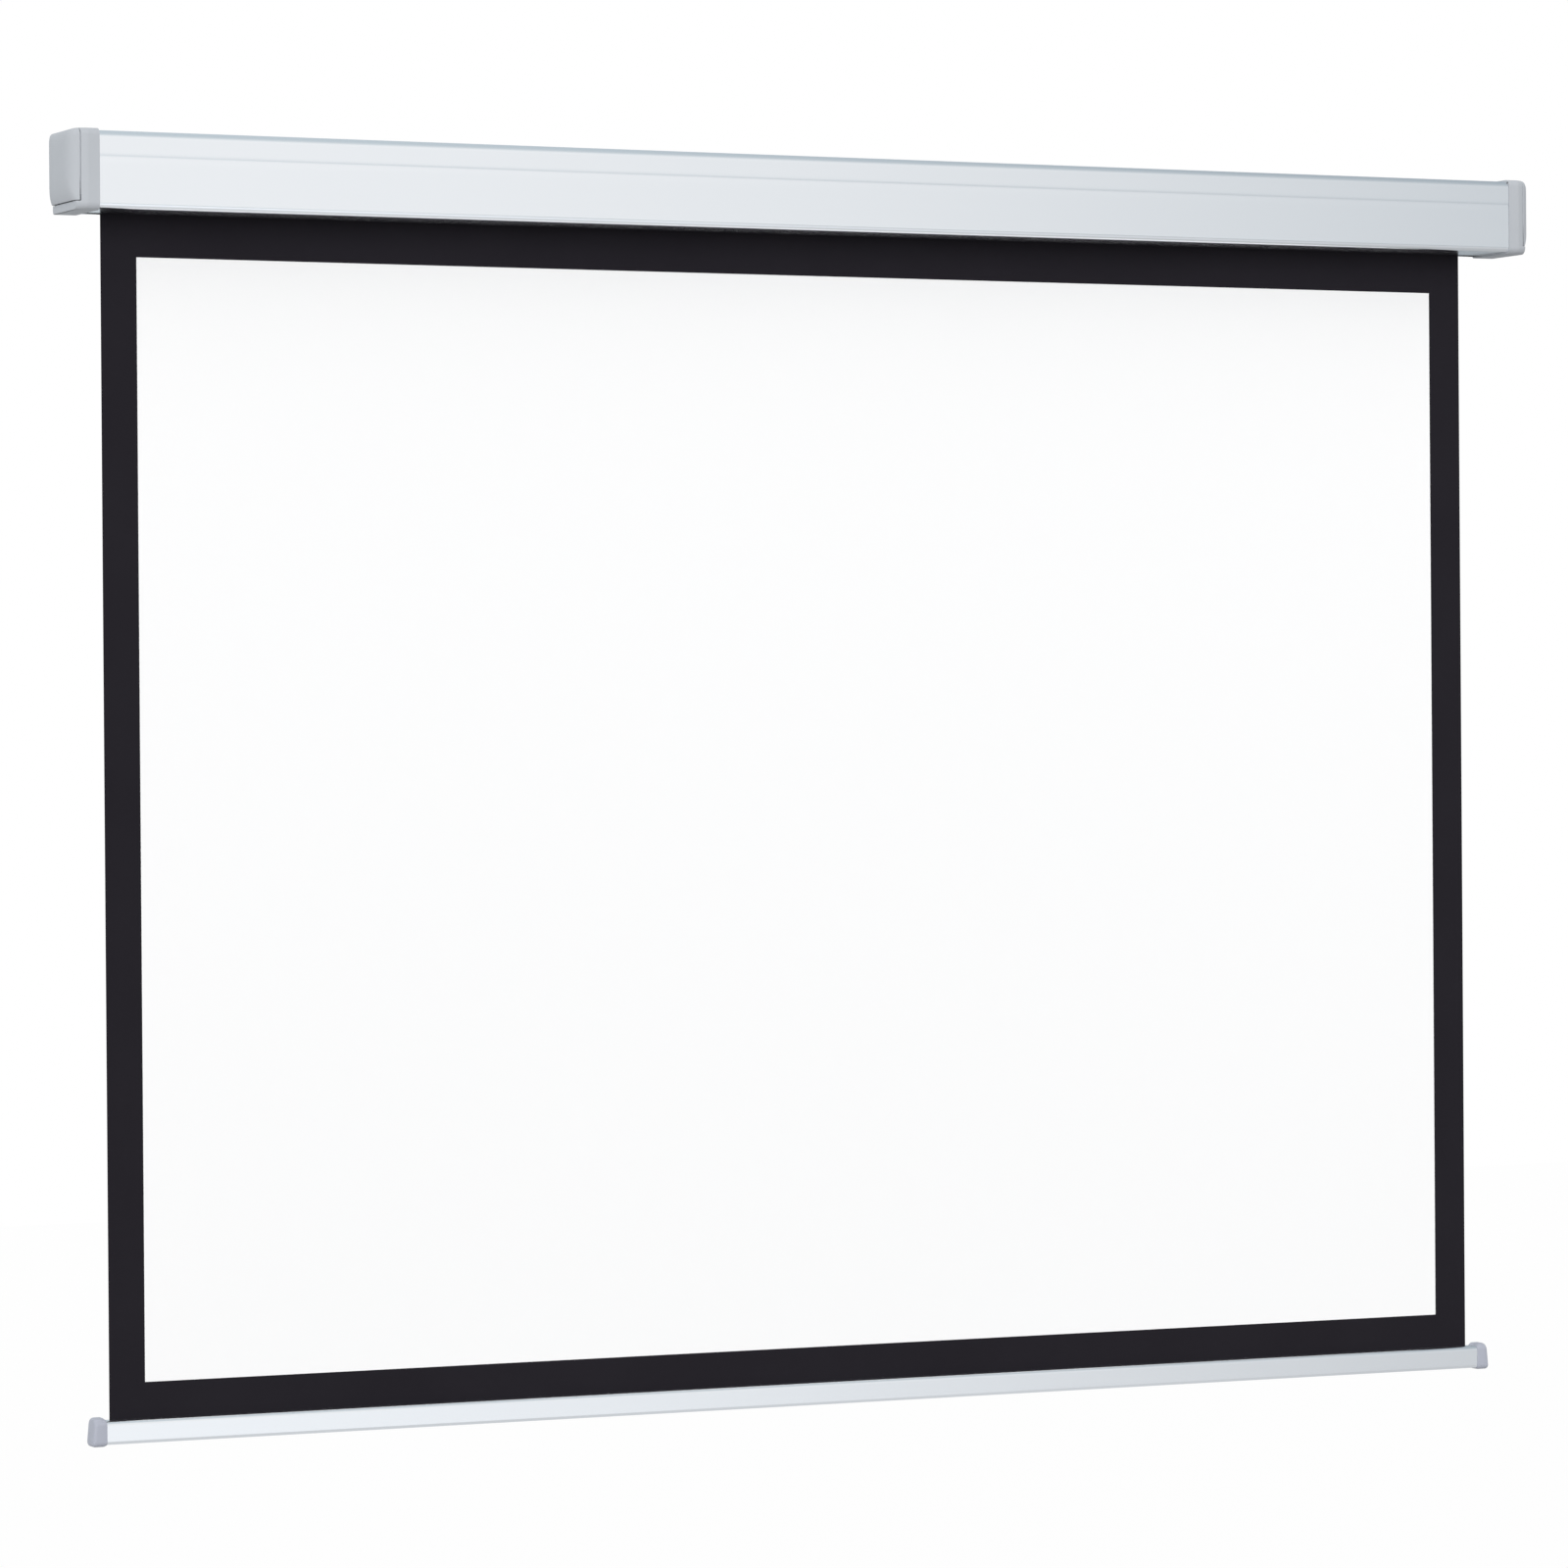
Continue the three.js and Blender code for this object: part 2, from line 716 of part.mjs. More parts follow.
function shaftBush() {
  const from = tubeHalf - plugLength + plugFlange + fitGap;
  return rod(shaftBushRadius, from, cupFloorX).subtract(
    rod(shaftRadius + fitGap, from - cutOver, cupFloorX + cutOver, 0, 0, smallSides),
  );
}

function pawlPin() {
  return rod(pawlPinRadius, tubeHalf - plugFlange + fitGap, cupMouthX, 0, 0, smallSides);
}

function pawlKeeper() {
  const from = cupMouthX - keeperThickness;
  const to = cupMouthX + cutOver;
  let made = rod(cupRadius - fitGap, from, cupMouthX);
  made = made.subtract(rod(keeperHoleRadius, from - cutOver, to, 0, 0, smallSides));
  for (const side of [-1, 1]) {
    const hole = pawlPinRadius + fitGap;
    const y = side * pawlPivotRadius;
    made = made.subtract(rod(hole, from - cutOver, to, y, 0, smallSides));
  }
  return made;
}

const shaftEndX = plateX + shaftReach;
const shaftInnerX = shaftEndX - shaftLength;

function springShaft() {
  const tangX = wheelX - fitGap;
  return rod(shaftRadius, shaftInnerX, tangX, 0, 0, smallSides).add(
    tang(0, tangX - cutOver, shaftEndX),
  );
}

const bearingX = shaftInnerX - fitGap;
const anchorX = bearingX + bearingLength + fitGap;

function innerBearing() {
  const to = bearingX + bearingLength;
  return rod(plugRadius, bearingX, to)
    .subtract(shellRoom(bearingX, to + cutOver))
    .subtract(rod(shaftRadius + fitGap, bearingX - cutOver, to + cutOver, 0, 0, smallSides));
}

function springAnchor() {
  const to = anchorX + anchorLength;
  return rod(anchorRadius, anchorX, to, 0, 0, smallSides).subtract(
    rod(shaftRadius + fitGap, anchorX - cutOver, to + cutOver, 0, 0, smallSides),
  );
}

// The spring runs from the middle of the fixed anchor to the middle of the drive plug's nose
const springFromX = anchorX + anchorLength / 2;
const springToX = tubeHalf - plugLength - noseLength / 2;

function springPoint(k) {
  const turn = (k / springSteps) * 2 * Math.PI;
  const x = springFromX + ((springToX - springFromX) * k) / (springSteps * springTurns);
  return new THREE.Vector3(x, springRadius * Math.cos(turn), springRadius * Math.sin(turn));
}

function mainspring() {
  const rings = [];
  for (let k = 0; k <= springSteps * springTurns; k++) {
    const centre = springPoint(k);
    const outward = new THREE.Vector3(0, centre.y, centre.z).normalize();
    const ring = [];
    for (let s = 0; s < springSides; s++) {
      const a = (s / springSides) * 2 * Math.PI;
      const p = centre.clone().addScaledVector(outward, springWireRadius * Math.cos(a));
      p.x -= springWireRadius * Math.sin(a);
      ring.push(p);
    }
    rings.push(ring);
  }
  return skin(rings);
}

// Least gap between neighbouring curls, measured on the points of the centre line
function springGap() {
  let least = Infinity;
  for (let k = 0; k <= springSteps; k++) {
    for (let n = springSteps / 2; n <= springSteps * 2; n++) {
      least = Math.min(least, springPoint(k).distanceTo(springPoint(k + n)));
    }
  }
  return least - 2 * springWireRadius;
}

// Weight bar, modelled with the cloth plane at Y = 0 and the bar's top at Z = 0

function barSection(inset) {
  return section(
    -barFront + inset,
    barBack - inset,
    -barHeight + inset,
    -inset,
    barTopRadius - inset,
    barBottomRadius - inset,
    barBackRadius - inset,
  );
}

const barHalf = clothWidth / 2 + barEndRoom;
const channelOuter = hemChannelRadius + hemChannelWall;
const hemLoopInner = hemRodRadius + fitGap;
const hemLoopOuter = hemLoopInner + clothThickness;

function barProfile() {
  const cut = barHalf + cutOver;
  let made = prism(barSection(0), -barHalf, barHalf);
  made = made.subtract(prism(barSection(barWall), -cut, cut));
  const shell = rod(channelOuter, -barHalf, barHalf, 0, -hemDepth);
  const neck = block(-barHalf, barHalf, -hemSlot - barWall, hemSlot + barWall, -hemDepth, 0);
  made = made.add(shell).add(neck);
  made = made.subtract(rod(hemChannelRadius, -cut, cut, 0, -hemDepth));
  return made.subtract(block(-cut, cut, -hemSlot / 2, hemSlot / 2, -hemDepth, cutOver));
}

// The cap's own section stands proud of the bar; inset draws it in for the rounded end
function barCapSection(inset) {
  return section(
    -barFront - barCapProudSide + inset,
    barBack + barCapProudSide - inset,
    -barHeight - barCapProudBottom + inset,
    barCapProudTop - inset,
    barCapTopRadius - inset,
    barCapBottomRadius - inset,
    barCapBackRadius - inset,
  );
}

// The cap's end leans towards the bar at the top
function barCap() {
  const outerX = barHalf + barCapLength;
  const rings = [ringAt(barCapSection(barCapProudSide), barHalf)];
  rings.push(ringAt(barCapSection(0), barHalf + barCapChamfer));
  for (let k = 0; k <= endSteps; k++) {
    const turn = (k / endSteps) * (Math.PI / 2);
    const inset = barCapRound * (1 - Math.cos(turn));
    const x = outerX - barCapRound + barCapRound * Math.sin(turn);
    const ring = ringAt(barCapSection(inset), x);
    for (const p of ring) {
      p.x -= barCapLean * (1 + p.z / barHeight);
    }
    rings.push(ring);
  }
  const spigotTop = -hemDepth - channelOuter - fitGap;
  const spigotX = barHalf - barSpigotLength;
  const spigotEnd = barHalf + barCapChamfer;
  const spigot = prism(barSection(barWall + fitGap), spigotX, spigotEnd).intersect(
    block(spigotX, spigotEnd, -barFront, barBack, -barHeight, spigotTop),
  );
  return skin(rings).add(spigot);
}

// The black border below the picture, with the hem that loops round its rod in the bar
function clothLowerBorder() {
  const half = clothWidth / 2;
  const cut = half + cutOver;
  const thick = clothThickness / 2;
  const hemTop = -hemDepth + hemLoopInner + thick;
  return rod(hemLoopOuter, -half, half, 0, -hemDepth)
    .subtract(rod(hemLoopInner, -cut, cut, 0, -hemDepth))
    .add(block(-half, half, -thick, thick, hemTop, bottomBorder));
}

function hemRod() {
  return rod(hemRodRadius, -clothWidth / 2, clothWidth / 2, 0, -hemDepth, smallSides);
}

// The ballast lies on the floor of the bar, between the spigots of the caps
function ballastRod() {
  const half = barHalf - ballastEndRoom;
  const z = -barHeight + barWall + fitGap + ballastRadius;
  return rod(ballastRadius, -half, half, (barBack - barFront) / 2, z, smallSides);
}

// Assembly

const screen = new THREE.Group();

const tangSlot = solid(
  geometryOf(tang(fitGap, caseHalf - cutOver, plateX + cutOver)).translate(0, axisY, axisZ),
);
const bushHole = rod(
  idlerPinRadius + 2 * fitGap + bushWall,
  caseHalf - cutOver,
  plateX + cutOver,
  axisY,
  axisZ,
);
screen.add(named("case_profile", caseProfile(), anodised));
screen.add(endPieces("right", tangSlot));
const leftEnd = endPieces("left", bushHole);
leftEnd.scale.x = -1;
screen.add(leftEnd);

for (const [side, place] of [
  ["left", -bracketSpread],
  ["right", bracketSpread],
]) {
  const bracket = named(side + "_wall_bracket", wallBracket(), zincSteel);
  bracket.position.x = place;
  screen.add(bracket);
}

// What turns on the roller's axis, and what stands still on it
const axle = new THREE.Group();
axle.position.set(0, axisY, axisZ);
axle.add(named("idler_bush", idlerBush(), nylon));
axle.add(named("spring_shaft", springShaft(), zincSteel));
axle.add(named("spring_anchor", springAnchor(), nylon));
axle.add(named("mainspring", mainspring(), springSteel));
axle.add(named("ratchet_wheel", ratchetWheel(), springSteel));
axle.add(named("roller_tube", rollerTube(), anodised));
axle.add(named("wound_cloth", woundCloth(), blackCloth));
const spline = rod(splineRadius, -clothWidth / 2, clothWidth / 2, -splineDepth, 0, smallSides);
axle.add(named("cloth_spline", spline, nylon));
axle.add(named("idler_plug", idlerPlug(), nylon));
axle.add(named("idler_pin", idlerPin(), zincSteel));
axle.add(named("drive_plug", drivePlug(), nylon));
axle.add(named("shaft_bush", shaftBush(), brassYellow));
axle.add(named("inner_bearing", innerBearing(), nylon));
axle.add(named("pawl_keeper", pawlKeeper(), zincSteel));
for (const [letter, turn] of [
  ["a", 0],
  ["b", Math.PI],
]) {
  const holder = new THREE.Group();
  holder.rotation.x = turn;
  const pin = named("pawl_pin_" + letter, pawlPin(), zincSteel);
  pin.position.y = pawlPivotRadius;
  const { made, direction } = pawl();
  const lever = named("pawl_" + letter, made, springSteel);
  lever.position.y = pawlPivotRadius;
  lever.rotation.x = direction;
  holder.add(pin, lever);
  axle.add(holder);
}
screen.add(axle);

// Cloth, let down to its full length
const halfThick = clothThickness / 2;
const sheet = block(
  -clothWidth / 2,
  clothWidth / 2,
  clothY - halfThick,
  clothY + halfThick,
  pictureTopZ - pictureHeight,
  axisZ,
);
screen.add(named("screen_cloth", sheet, blackCloth));
const coat = block(
  -pictureWidth / 2,
  pictureWidth / 2,
  clothY - halfThick - coatThickness,
  clothY - halfThick,
  pictureTopZ - pictureHeight,
  pictureTopZ,
);
screen.add(named("picture_surface", coat, whiteCoat));

const bar = new THREE.Group();
bar.position.set(0, clothY, barTopZ);
bar.add(named("bar_profile", barProfile(), anodised));
const rightCap = named("bar_right_cap", barCap(), greyPlastic);
const leftCap = named("bar_left_cap", barCap(), greyPlastic);
leftCap.scale.x = -1;
bar.add(rightCap, leftCap);
bar.add(named("cloth_lower_border", clothLowerBorder(), blackCloth));
bar.add(named("hem_rod", hemRod(), nylon));
bar.add(named("ballast_rod", ballastRod(), zincSteel));
screen.add(bar);

console.log("least gap between spring curls " + springGap().toFixed(2) + " mm");

export default screen;
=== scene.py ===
# %% [markdown]
# This lesson dresses a pull-down projection screen. On the real object an aluminium case hangs on
# the wall, a spring roller turns inside it, and the cloth comes down from the back of the roller to
# a slim weight bar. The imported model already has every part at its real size, so the work here is
# to give the seen pieces their true roundings and each piece its finish.

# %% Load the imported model
import json
import math

import bmesh
import bpy
from mathutils import Matrix, Vector


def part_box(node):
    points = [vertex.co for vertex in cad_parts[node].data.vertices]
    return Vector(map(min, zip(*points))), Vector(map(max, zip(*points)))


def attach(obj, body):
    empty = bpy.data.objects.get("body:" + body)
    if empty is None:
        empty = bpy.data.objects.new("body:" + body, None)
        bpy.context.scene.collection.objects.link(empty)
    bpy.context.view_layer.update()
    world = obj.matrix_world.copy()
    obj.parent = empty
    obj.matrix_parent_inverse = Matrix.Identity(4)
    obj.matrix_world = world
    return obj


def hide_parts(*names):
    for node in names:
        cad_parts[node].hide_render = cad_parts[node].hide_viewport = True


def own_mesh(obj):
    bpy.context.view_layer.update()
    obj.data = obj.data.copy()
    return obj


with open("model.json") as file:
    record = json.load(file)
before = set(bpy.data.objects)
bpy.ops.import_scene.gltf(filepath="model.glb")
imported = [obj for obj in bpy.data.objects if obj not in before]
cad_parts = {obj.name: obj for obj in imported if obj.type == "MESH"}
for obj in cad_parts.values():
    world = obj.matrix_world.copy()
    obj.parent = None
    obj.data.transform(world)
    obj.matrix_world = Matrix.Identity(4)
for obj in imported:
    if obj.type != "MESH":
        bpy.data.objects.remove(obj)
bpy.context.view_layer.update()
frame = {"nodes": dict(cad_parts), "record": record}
scene = bpy.context.scene
scene.view_settings.view_transform = "Standard"

# %% [markdown]
# The photographer stood to the left, some seven metres away, at the height of the screen's middle,
# and used a long lens. A camera in Blender looks along its own -Z, so its turn is built from three
# directions: to the right, up, and back towards the photographer. Its values were found by fitting
# the model's long edges to those in the photograph.

# %% Camera
CAMERA_PLACE = Vector((-3.24024, -6.81116, -0.6514))
CAMERA_YAW = 0.43944
CAMERA_PITCH = -0.00628
CAMERA_ROLL = -0.00719
SENSOR = 36.0
IMAGE_PIXELS = 1600
FOCAL_PIXELS = 6427
FAR_END = 100


def aim(yaw, pitch, roll):
    """The turn of a camera that looks along +Y and is then turned right, tilted up and rolled."""
    level = math.cos(pitch)
    forward = Vector((math.sin(yaw) * level, math.cos(yaw) * level, math.sin(pitch)))
    right = Vector((math.cos(yaw), -math.sin(yaw), 0))
    up = right.cross(forward)
    rolled_right = right * math.cos(roll) + up * math.sin(roll)
    rolled_up = up * math.cos(roll) - right * math.sin(roll)
    return Matrix((rolled_right, rolled_up, -forward)).transposed().to_4x4()


camera_data = bpy.data.cameras.new("camera")
camera_data.sensor_width = SENSOR
camera_data.lens = SENSOR * FOCAL_PIXELS / IMAGE_PIXELS
camera_data.clip_end = FAR_END
camera = bpy.data.objects.new("camera", camera_data)
camera.matrix_world = Matrix.Translation(CAMERA_PLACE) @ aim(CAMERA_YAW, CAMERA_PITCH, CAMERA_ROLL)
scene.collection.objects.link(camera)
scene.camera = camera
print("lens", round(camera_data.lens, 2), "mm")

# %% [markdown]
# Shader maths reads best as plain expressions. A Wire holds one socket, and the operators on it
# add Math nodes. A Board is a node tree with one method that adds any node: its settings first,
# then the values or links of its sockets. Two more methods save writing the same node again and
# again: one mixes colours, and one lets a value fade from one place to another.


# %% Shader helpers
class Wire:
    """One output socket. Expressions on it add Math nodes to its board."""

    def __init__(self, board, socket):
        self.board = board
        self.socket = socket

    def math(self, operation, *values):
        return self.board.node("Math", {"operation": operation}, dict(enumerate(values)))

    def output(self, name):
        return Wire(self.board, self.socket.node.outputs[name])

    def __add__(self, other):
        return self.math("ADD", self, other)

    def __radd__(self, other):
        return self.math("ADD", other, self)

    def __sub__(self, other):
        return self.math("SUBTRACT", self, other)

    def __rsub__(self, other):
        return self.math("SUBTRACT", other, self)

    def __mul__(self, other):
        return self.math("MULTIPLY", self, other)

    def __rmul__(self, other):
        return self.math("MULTIPLY", other, self)

    def __pow__(self, other):
        return self.math("POWER", self, other)


class Board:
    """A node tree that is being wired up."""

    def __init__(self, tree):
        self.tree = tree
        tree.nodes.clear()

    def node(self, kind, settings=None, sockets=None):
        made = self.tree.nodes.new("ShaderNode" + kind)
        for name, value in (settings or {}).items():
            if name == "stops":
                ramp = made.color_ramp.elements
                while len(ramp) < len(value):
                    ramp.new(1)
                for element, (place, colour) in zip(ramp, value):
                    element.position = place
                    element.color = colour
            else:
                setattr(made, name, value)
        for name, value in (sockets or {}).items():
            if isinstance(value, Wire):
                self.tree.links.new(value.socket, made.inputs[name])
            else:
                made.inputs[name].default_value = value
        return Wire(self, made.outputs[0]) if made.outputs else made

    def mix(self, factor, low, high):
        """A colour between two others, on the Mix node's sockets for colours."""
        mixed = self.node("Mix", {"data_type": "RGBA"}, {0: factor, 6: low, 7: high})
        return Wire(self, mixed.socket.node.outputs[2])

    def fade(self, value, start, end, low=0.0, high=1.0, way="LINEAR"):
        """Goes from low to high while the value goes from start to end."""
        limits = {0: value, 1: start, 2: end, 3: low, 4: high}
        return self.node("MapRange", {"interpolation_type": way}, limits)


# %% [markdown]
# The photograph is a studio cut-out: white all round, and even light that leaves the cloth just
# white. The world does most of it. The camera sees it white, and cloth and plastic get an even
# light from it. What metal mirrors is white in front, a grey to the right, overhead and behind, and
# dim in a low band under the horizon. That makes the case brightest at its left end and shades its
# groove, as in the photograph. A lamp from the front left adds the last part of the light. Metal
# doesn't mirror the lamp, which would burn its front out to white in views from the right.

# %% World and lamp
WHITE = (1, 1, 1, 1)
LIGHT_GREY = (0.58, 0.65, 0.69, 1)
DEEP_GREY = (0.36, 0.41, 0.45, 1)
SKY_LIGHT = 0.9
METAL_LIGHT = 1.05
SUN_STRENGTH = 1.27
SUN_ANGLE = 25
SUN_TURN = 34
SUN_HEIGHT = 12
# How far a direction leans to the right, up, back or down where the white ends
WHITE_RIGHT = (0.64, 0.4)
WHITE_TOP = (1.0, 0.3)
WHITE_BACK = (0.3, -0.1)
WHITE_LOW = (-0.16, -0.02)
DIM_BAND = 0.05
DEEPER_RIGHT = (0.36, 0.56)
SMOOTH = "SMOOTHSTEP"

world = bpy.data.worlds.new("studio")
world.use_nodes = True
scene.world = world
sky = Board(world.node_tree)
to_right = sky.node("SeparateXYZ", {}, {0: sky.node("TexCoord")})
to_back, upwards = to_right.output("Y"), to_right.output("Z")
white_side = sky.fade(to_right, *WHITE_RIGHT, way=SMOOTH)
white_top = sky.fade(upwards, *WHITE_TOP, way=SMOOTH)
white_front = sky.fade(to_back, *WHITE_BACK, way=SMOOTH)
white_low = sky.fade(upwards, *WHITE_LOW, low=DIM_BAND, way=SMOOTH)
grey = sky.mix(sky.fade(to_right, *DEEPER_RIGHT, way=SMOOTH), LIGHT_GREY, DEEP_GREY)
seen_by_metal = sky.mix(white_side * white_top * white_front * white_low, grey, WHITE)
metal_light = sky.node("Background", {}, {"Color": seen_by_metal, "Strength": METAL_LIGHT})
even_light = sky.node("Background", {}, {"Color": WHITE, "Strength": SKY_LIGHT})
white_light = sky.node("Background", {}, {"Color": WHITE})
by_camera = sky.node("LightPath")
by_metal = by_camera.output("Is Glossy Ray")
by_mirror = by_metal.math("MAXIMUM", by_metal, by_camera.output("Is Transmission Ray"))
unseen = sky.node("MixShader", {}, {0: by_mirror, 1: even_light, 2: metal_light})
seen = sky.node("MixShader", {}, {0: by_camera, 1: unseen, 2: white_light})
sky.node("OutputWorld", {}, {"Surface": seen})

sun_data = bpy.data.lights.new("front_left_lamp", "SUN")
sun_data.energy = SUN_STRENGTH
sun_data.angle = math.radians(SUN_ANGLE)
sun = bpy.data.objects.new("front_left_lamp", sun_data)
sun.rotation_euler = (math.radians(90 - SUN_HEIGHT), 0, math.radians(-SUN_TURN))
sun.visible_glossy = False
scene.collection.objects.link(sun)
print("world", METAL_LIGHT, "lamp", SUN_STRENGTH)

# %% [markdown]
# The floor lies below the hanging screen. The camera sees it almost white, with a faint shadow,
# while cloth and plastic get a grey light that comes up from it. Metal sees a lit white floor whose
# shine fades to the right and close to the wall: the bar's front mirrors a place nearly five metres
# in front, its bottom one near the wall. From below the camera looks through it, so that views from
# there show the underside of the case.

# %% Floor
FLOOR_Z = -1.9
FLOOR_HALF = 9
FLOOR_GREY = (0.45, 0.45, 0.45, 1)
COOL_WHITE = (0.96, 0.98, 1, 1)
CAMERA_GLOW = 1.04
GLOW_SHARE = 0.92
SHINE_LEFT = 1.27
SHINE_RIGHT = 0.66
SHINE_FALLS = (0.6, 3.5)
WALL_SHARE = 0.6
AWAY_FROM_WALL = (-0.8, -3.2)

floor_mesh = bpy.data.meshes.new("floor")
bm = bmesh.new()
bmesh.ops.create_grid(bm, x_segments=1, y_segments=1, size=FLOOR_HALF)
bmesh.ops.translate(bm, verts=bm.verts, vec=(0, 0, FLOOR_Z))
bm.to_mesh(floor_mesh)
bm.free()
floor = bpy.data.objects.new("floor", floor_mesh)
scene.collection.objects.link(floor)

floor_paint = bpy.data.materials.new("floor_paint")
floor_paint.use_nodes = True
ground = Board(floor_paint.node_tree)
across = ground.node("SeparateXYZ", {}, {0: ground.node("TexCoord").output("Object")})
shine_there = ground.fade(across, *SHINE_FALLS, SHINE_LEFT, SHINE_RIGHT)
in_front = ground.fade(across.output("Y"), *AWAY_FROM_WALL, WALL_SHARE, 1.0)
paint = ground.node("BsdfDiffuse", {}, {"Color": FLOOR_GREY})
glow = ground.node("Emission", {}, {"Color": WHITE, "Strength": CAMERA_GLOW})
shine = ground.node("Emission", {}, {"Color": COOL_WHITE, "Strength": shine_there * in_front})
clear = ground.node("BsdfTransparent")
by_camera = ground.node("LightPath")
by_metal = by_camera.output("Is Glossy Ray")
from_below = ground.node("NewGeometry").output("Backfacing") * by_camera
unseen_floor = ground.node("MixShader", {}, {0: by_metal, 1: paint, 2: shine})
from_above = ground.node("MixShader", {}, {0: by_camera * GLOW_SHARE, 1: unseen_floor, 2: glow})
one_way = ground.node("MixShader", {}, {0: from_below, 1: from_above, 2: clear})
ground.node("OutputMaterial", {}, {"Surface": one_way})
floor_mesh.materials.append(floor_paint)
print("floor at", FLOOR_Z)

# %% [markdown]
# Now the finishes. Each is one Principled shader. A number that is the same all over sits on the
# shader's own socket, and what varies over the surface goes to its colour, roughness or bump.


# %% Start of a finish
class Finish(Board):
    """A material with one Principled shader, whose constants are set on its own sockets."""

    def __init__(self, name, constants):
        self.material = bpy.data.materials.new(name)
        self.material.use_nodes = True
        super().__init__(self.material.node_tree)
        self.shader = self.node("BsdfPrincipled", {}, constants)
        self.node("OutputMaterial", {}, {"Surface": self.shader})

    def feed(self, socket, wire):
        self.tree.links.new(wire.socket, self.shader.socket.node.inputs[socket])

    def place(self, stretch=(1, 1, 1)):
        """The piece's own coordinates in metres, stretched for grain that runs one way."""
        local = self.node("TexCoord").output("Object")
        return self.node("Mapping", {}, {"Vector": local, "Scale": stretch})

    def noise(self, per_metre, stretch=(1, 1, 1), detail=2.0):
        """A pattern of so many clouds or grains per metre."""
        sockets = {"Vector": self.place(stretch), "Scale": per_metre, "Detail": detail}
        return self.node("TexNoise", {}, sockets)

    def roughness(self, pattern, least, most):
        """Goes from its least to its most while the pattern goes from 0 to 1."""
        self.feed("Roughness", least + pattern * (most - least))

    def bump(self, pattern, height):
        """Raises the pattern's bright places by a height in metres."""
        sockets = {"Height": pattern, "Distance": height, "Strength": 1.0}
        self.feed("Normal", self.node("Bump", {}, sockets))


# %% [markdown]
# Anodised aluminium: the extrusions were brushed along their length before they were anodised, so
# they carry long thin streaks. Noise that is stretched along X gives them. The streaks tint the
# metal by a trace and change its gloss a little, and a very low bump makes them catch the light.

# %% Anodised aluminium
ALUMINIUM = (0.88, 0.9, 0.925, 1)
ALUMINIUM_STREAK = (0.8, 0.825, 0.855, 1)
FINE_STRETCH = (0.004, 1, 1)
BROAD_STRETCH = (0.012, 1, 1)
FINE_SHARE = 0.6

anodised = Finish("brushed_aluminium", {"Metallic": 1.0})
fine_streaks = anodised.noise(per_metre=900, stretch=FINE_STRETCH, detail=3.0)
broad_streaks = anodised.noise(per_metre=70, stretch=BROAD_STRETCH)
streaks = fine_streaks * FINE_SHARE + broad_streaks * (1 - FINE_SHARE)
anodised.feed("Base Color", anodised.mix(streaks, ALUMINIUM_STREAK, ALUMINIUM))
anodised.roughness(streaks, least=0.17, most=0.29)
anodised.bump(fine_streaks, height=0.00003)
print("finish", anodised.material.name)

# %% [markdown]
# Grey plastic: the end mouldings are satin, with the fine grain of an eroded mould and a slightly
# uneven tone where the plastic filled the mould. The bar's caps get a darker and bluer copy of it.
# Its darker tone is painted shade, for the light that falls off towards the bar's right end. One
# function makes both greys.

# %% Grey plastic
CASE_GREY = (0.484, 0.507, 0.54, 1)
CASE_GREY_SHADE = (0.45, 0.474, 0.506, 1)
# The bar's greys are darker by painted shade, for the light that falls off towards the bar's right
# end.
PAINTED_SHADE_BAR_GREY = (0.434, 0.454, 0.525, 1)
PAINTED_SHADE_BAR_GREY_DARK = (0.404, 0.424, 0.492, 1)


def satin_plastic(name, light, dark):
    """Satin plastic whose tone drifts between two greys."""
    plastic = Finish(name, {"Metallic": 0.0, "Specular IOR Level": 0.4})
    clouds = plastic.noise(per_metre=18, detail=3.0)
    grain = plastic.noise(per_metre=2400)
    plastic.feed("Base Color", plastic.mix(clouds, dark, light))
    plastic.roughness(grain, least=0.42, most=0.54)
    plastic.bump(grain, height=0.00004)
    print("finish", name)
    return plastic.material


case_plastic = satin_plastic("satin_plastic", CASE_GREY, CASE_GREY_SHADE)
# The bar's copy of the plastic holds painted shade in its colour.
bar_plastic_painted_shade = satin_plastic("satin_plastic_bar_painted_shade", PAINTED_SHADE_BAR_GREY, PAINTED_SHADE_BAR_GREY_DARK)

# %% [markdown]
# Cloth: a woven backing with a matt coating over it. The threads run along the piece's own UV map,
# which is laid out in metres, so the weave follows the sheet when it moves. Two sine waves, one for
# each direction of thread, make its height.

# %% Black cloth and white coating
THREADS_PER_METRE = 1600
CLOTH_BLACK = (0.0142, 0.0124, 0.0166, 1)
CLOTH_BLACK_WORN = (0.0182, 0.0164, 0.0212, 1)
COAT_WHITE = (0.965, 0.965, 0.965, 1)
COAT_SHADE = (0.945, 0.948, 0.952, 1)
COAT_THREAD_SHARE = 0.4


def weave(finish):
    """The height of crossed threads, from 0 to 1, on the piece's UV map."""
    flat = finish.node("SeparateXYZ", {}, {0: finish.node("TexCoord").output("UV")})
    turn = 2 * math.pi * THREADS_PER_METRE / 2
    across = flat * turn
    up = flat.output("Y") * turn
    warp = across.math("SINE", across)
    weft = up.math("SINE", up)
    return 0.5 + warp * weft * 0.5


black = Finish("coated_black_cloth", {"Metallic": 0.0, "Specular IOR Level": 0.12})
threads = weave(black)
patches = black.noise(per_metre=9, detail=4.0)
black.feed("Base Color", black.mix(patches, CLOTH_BLACK, CLOTH_BLACK_WORN))
black.roughness(threads, least=0.78, most=0.9)
black.bump(threads, height=0.00006)

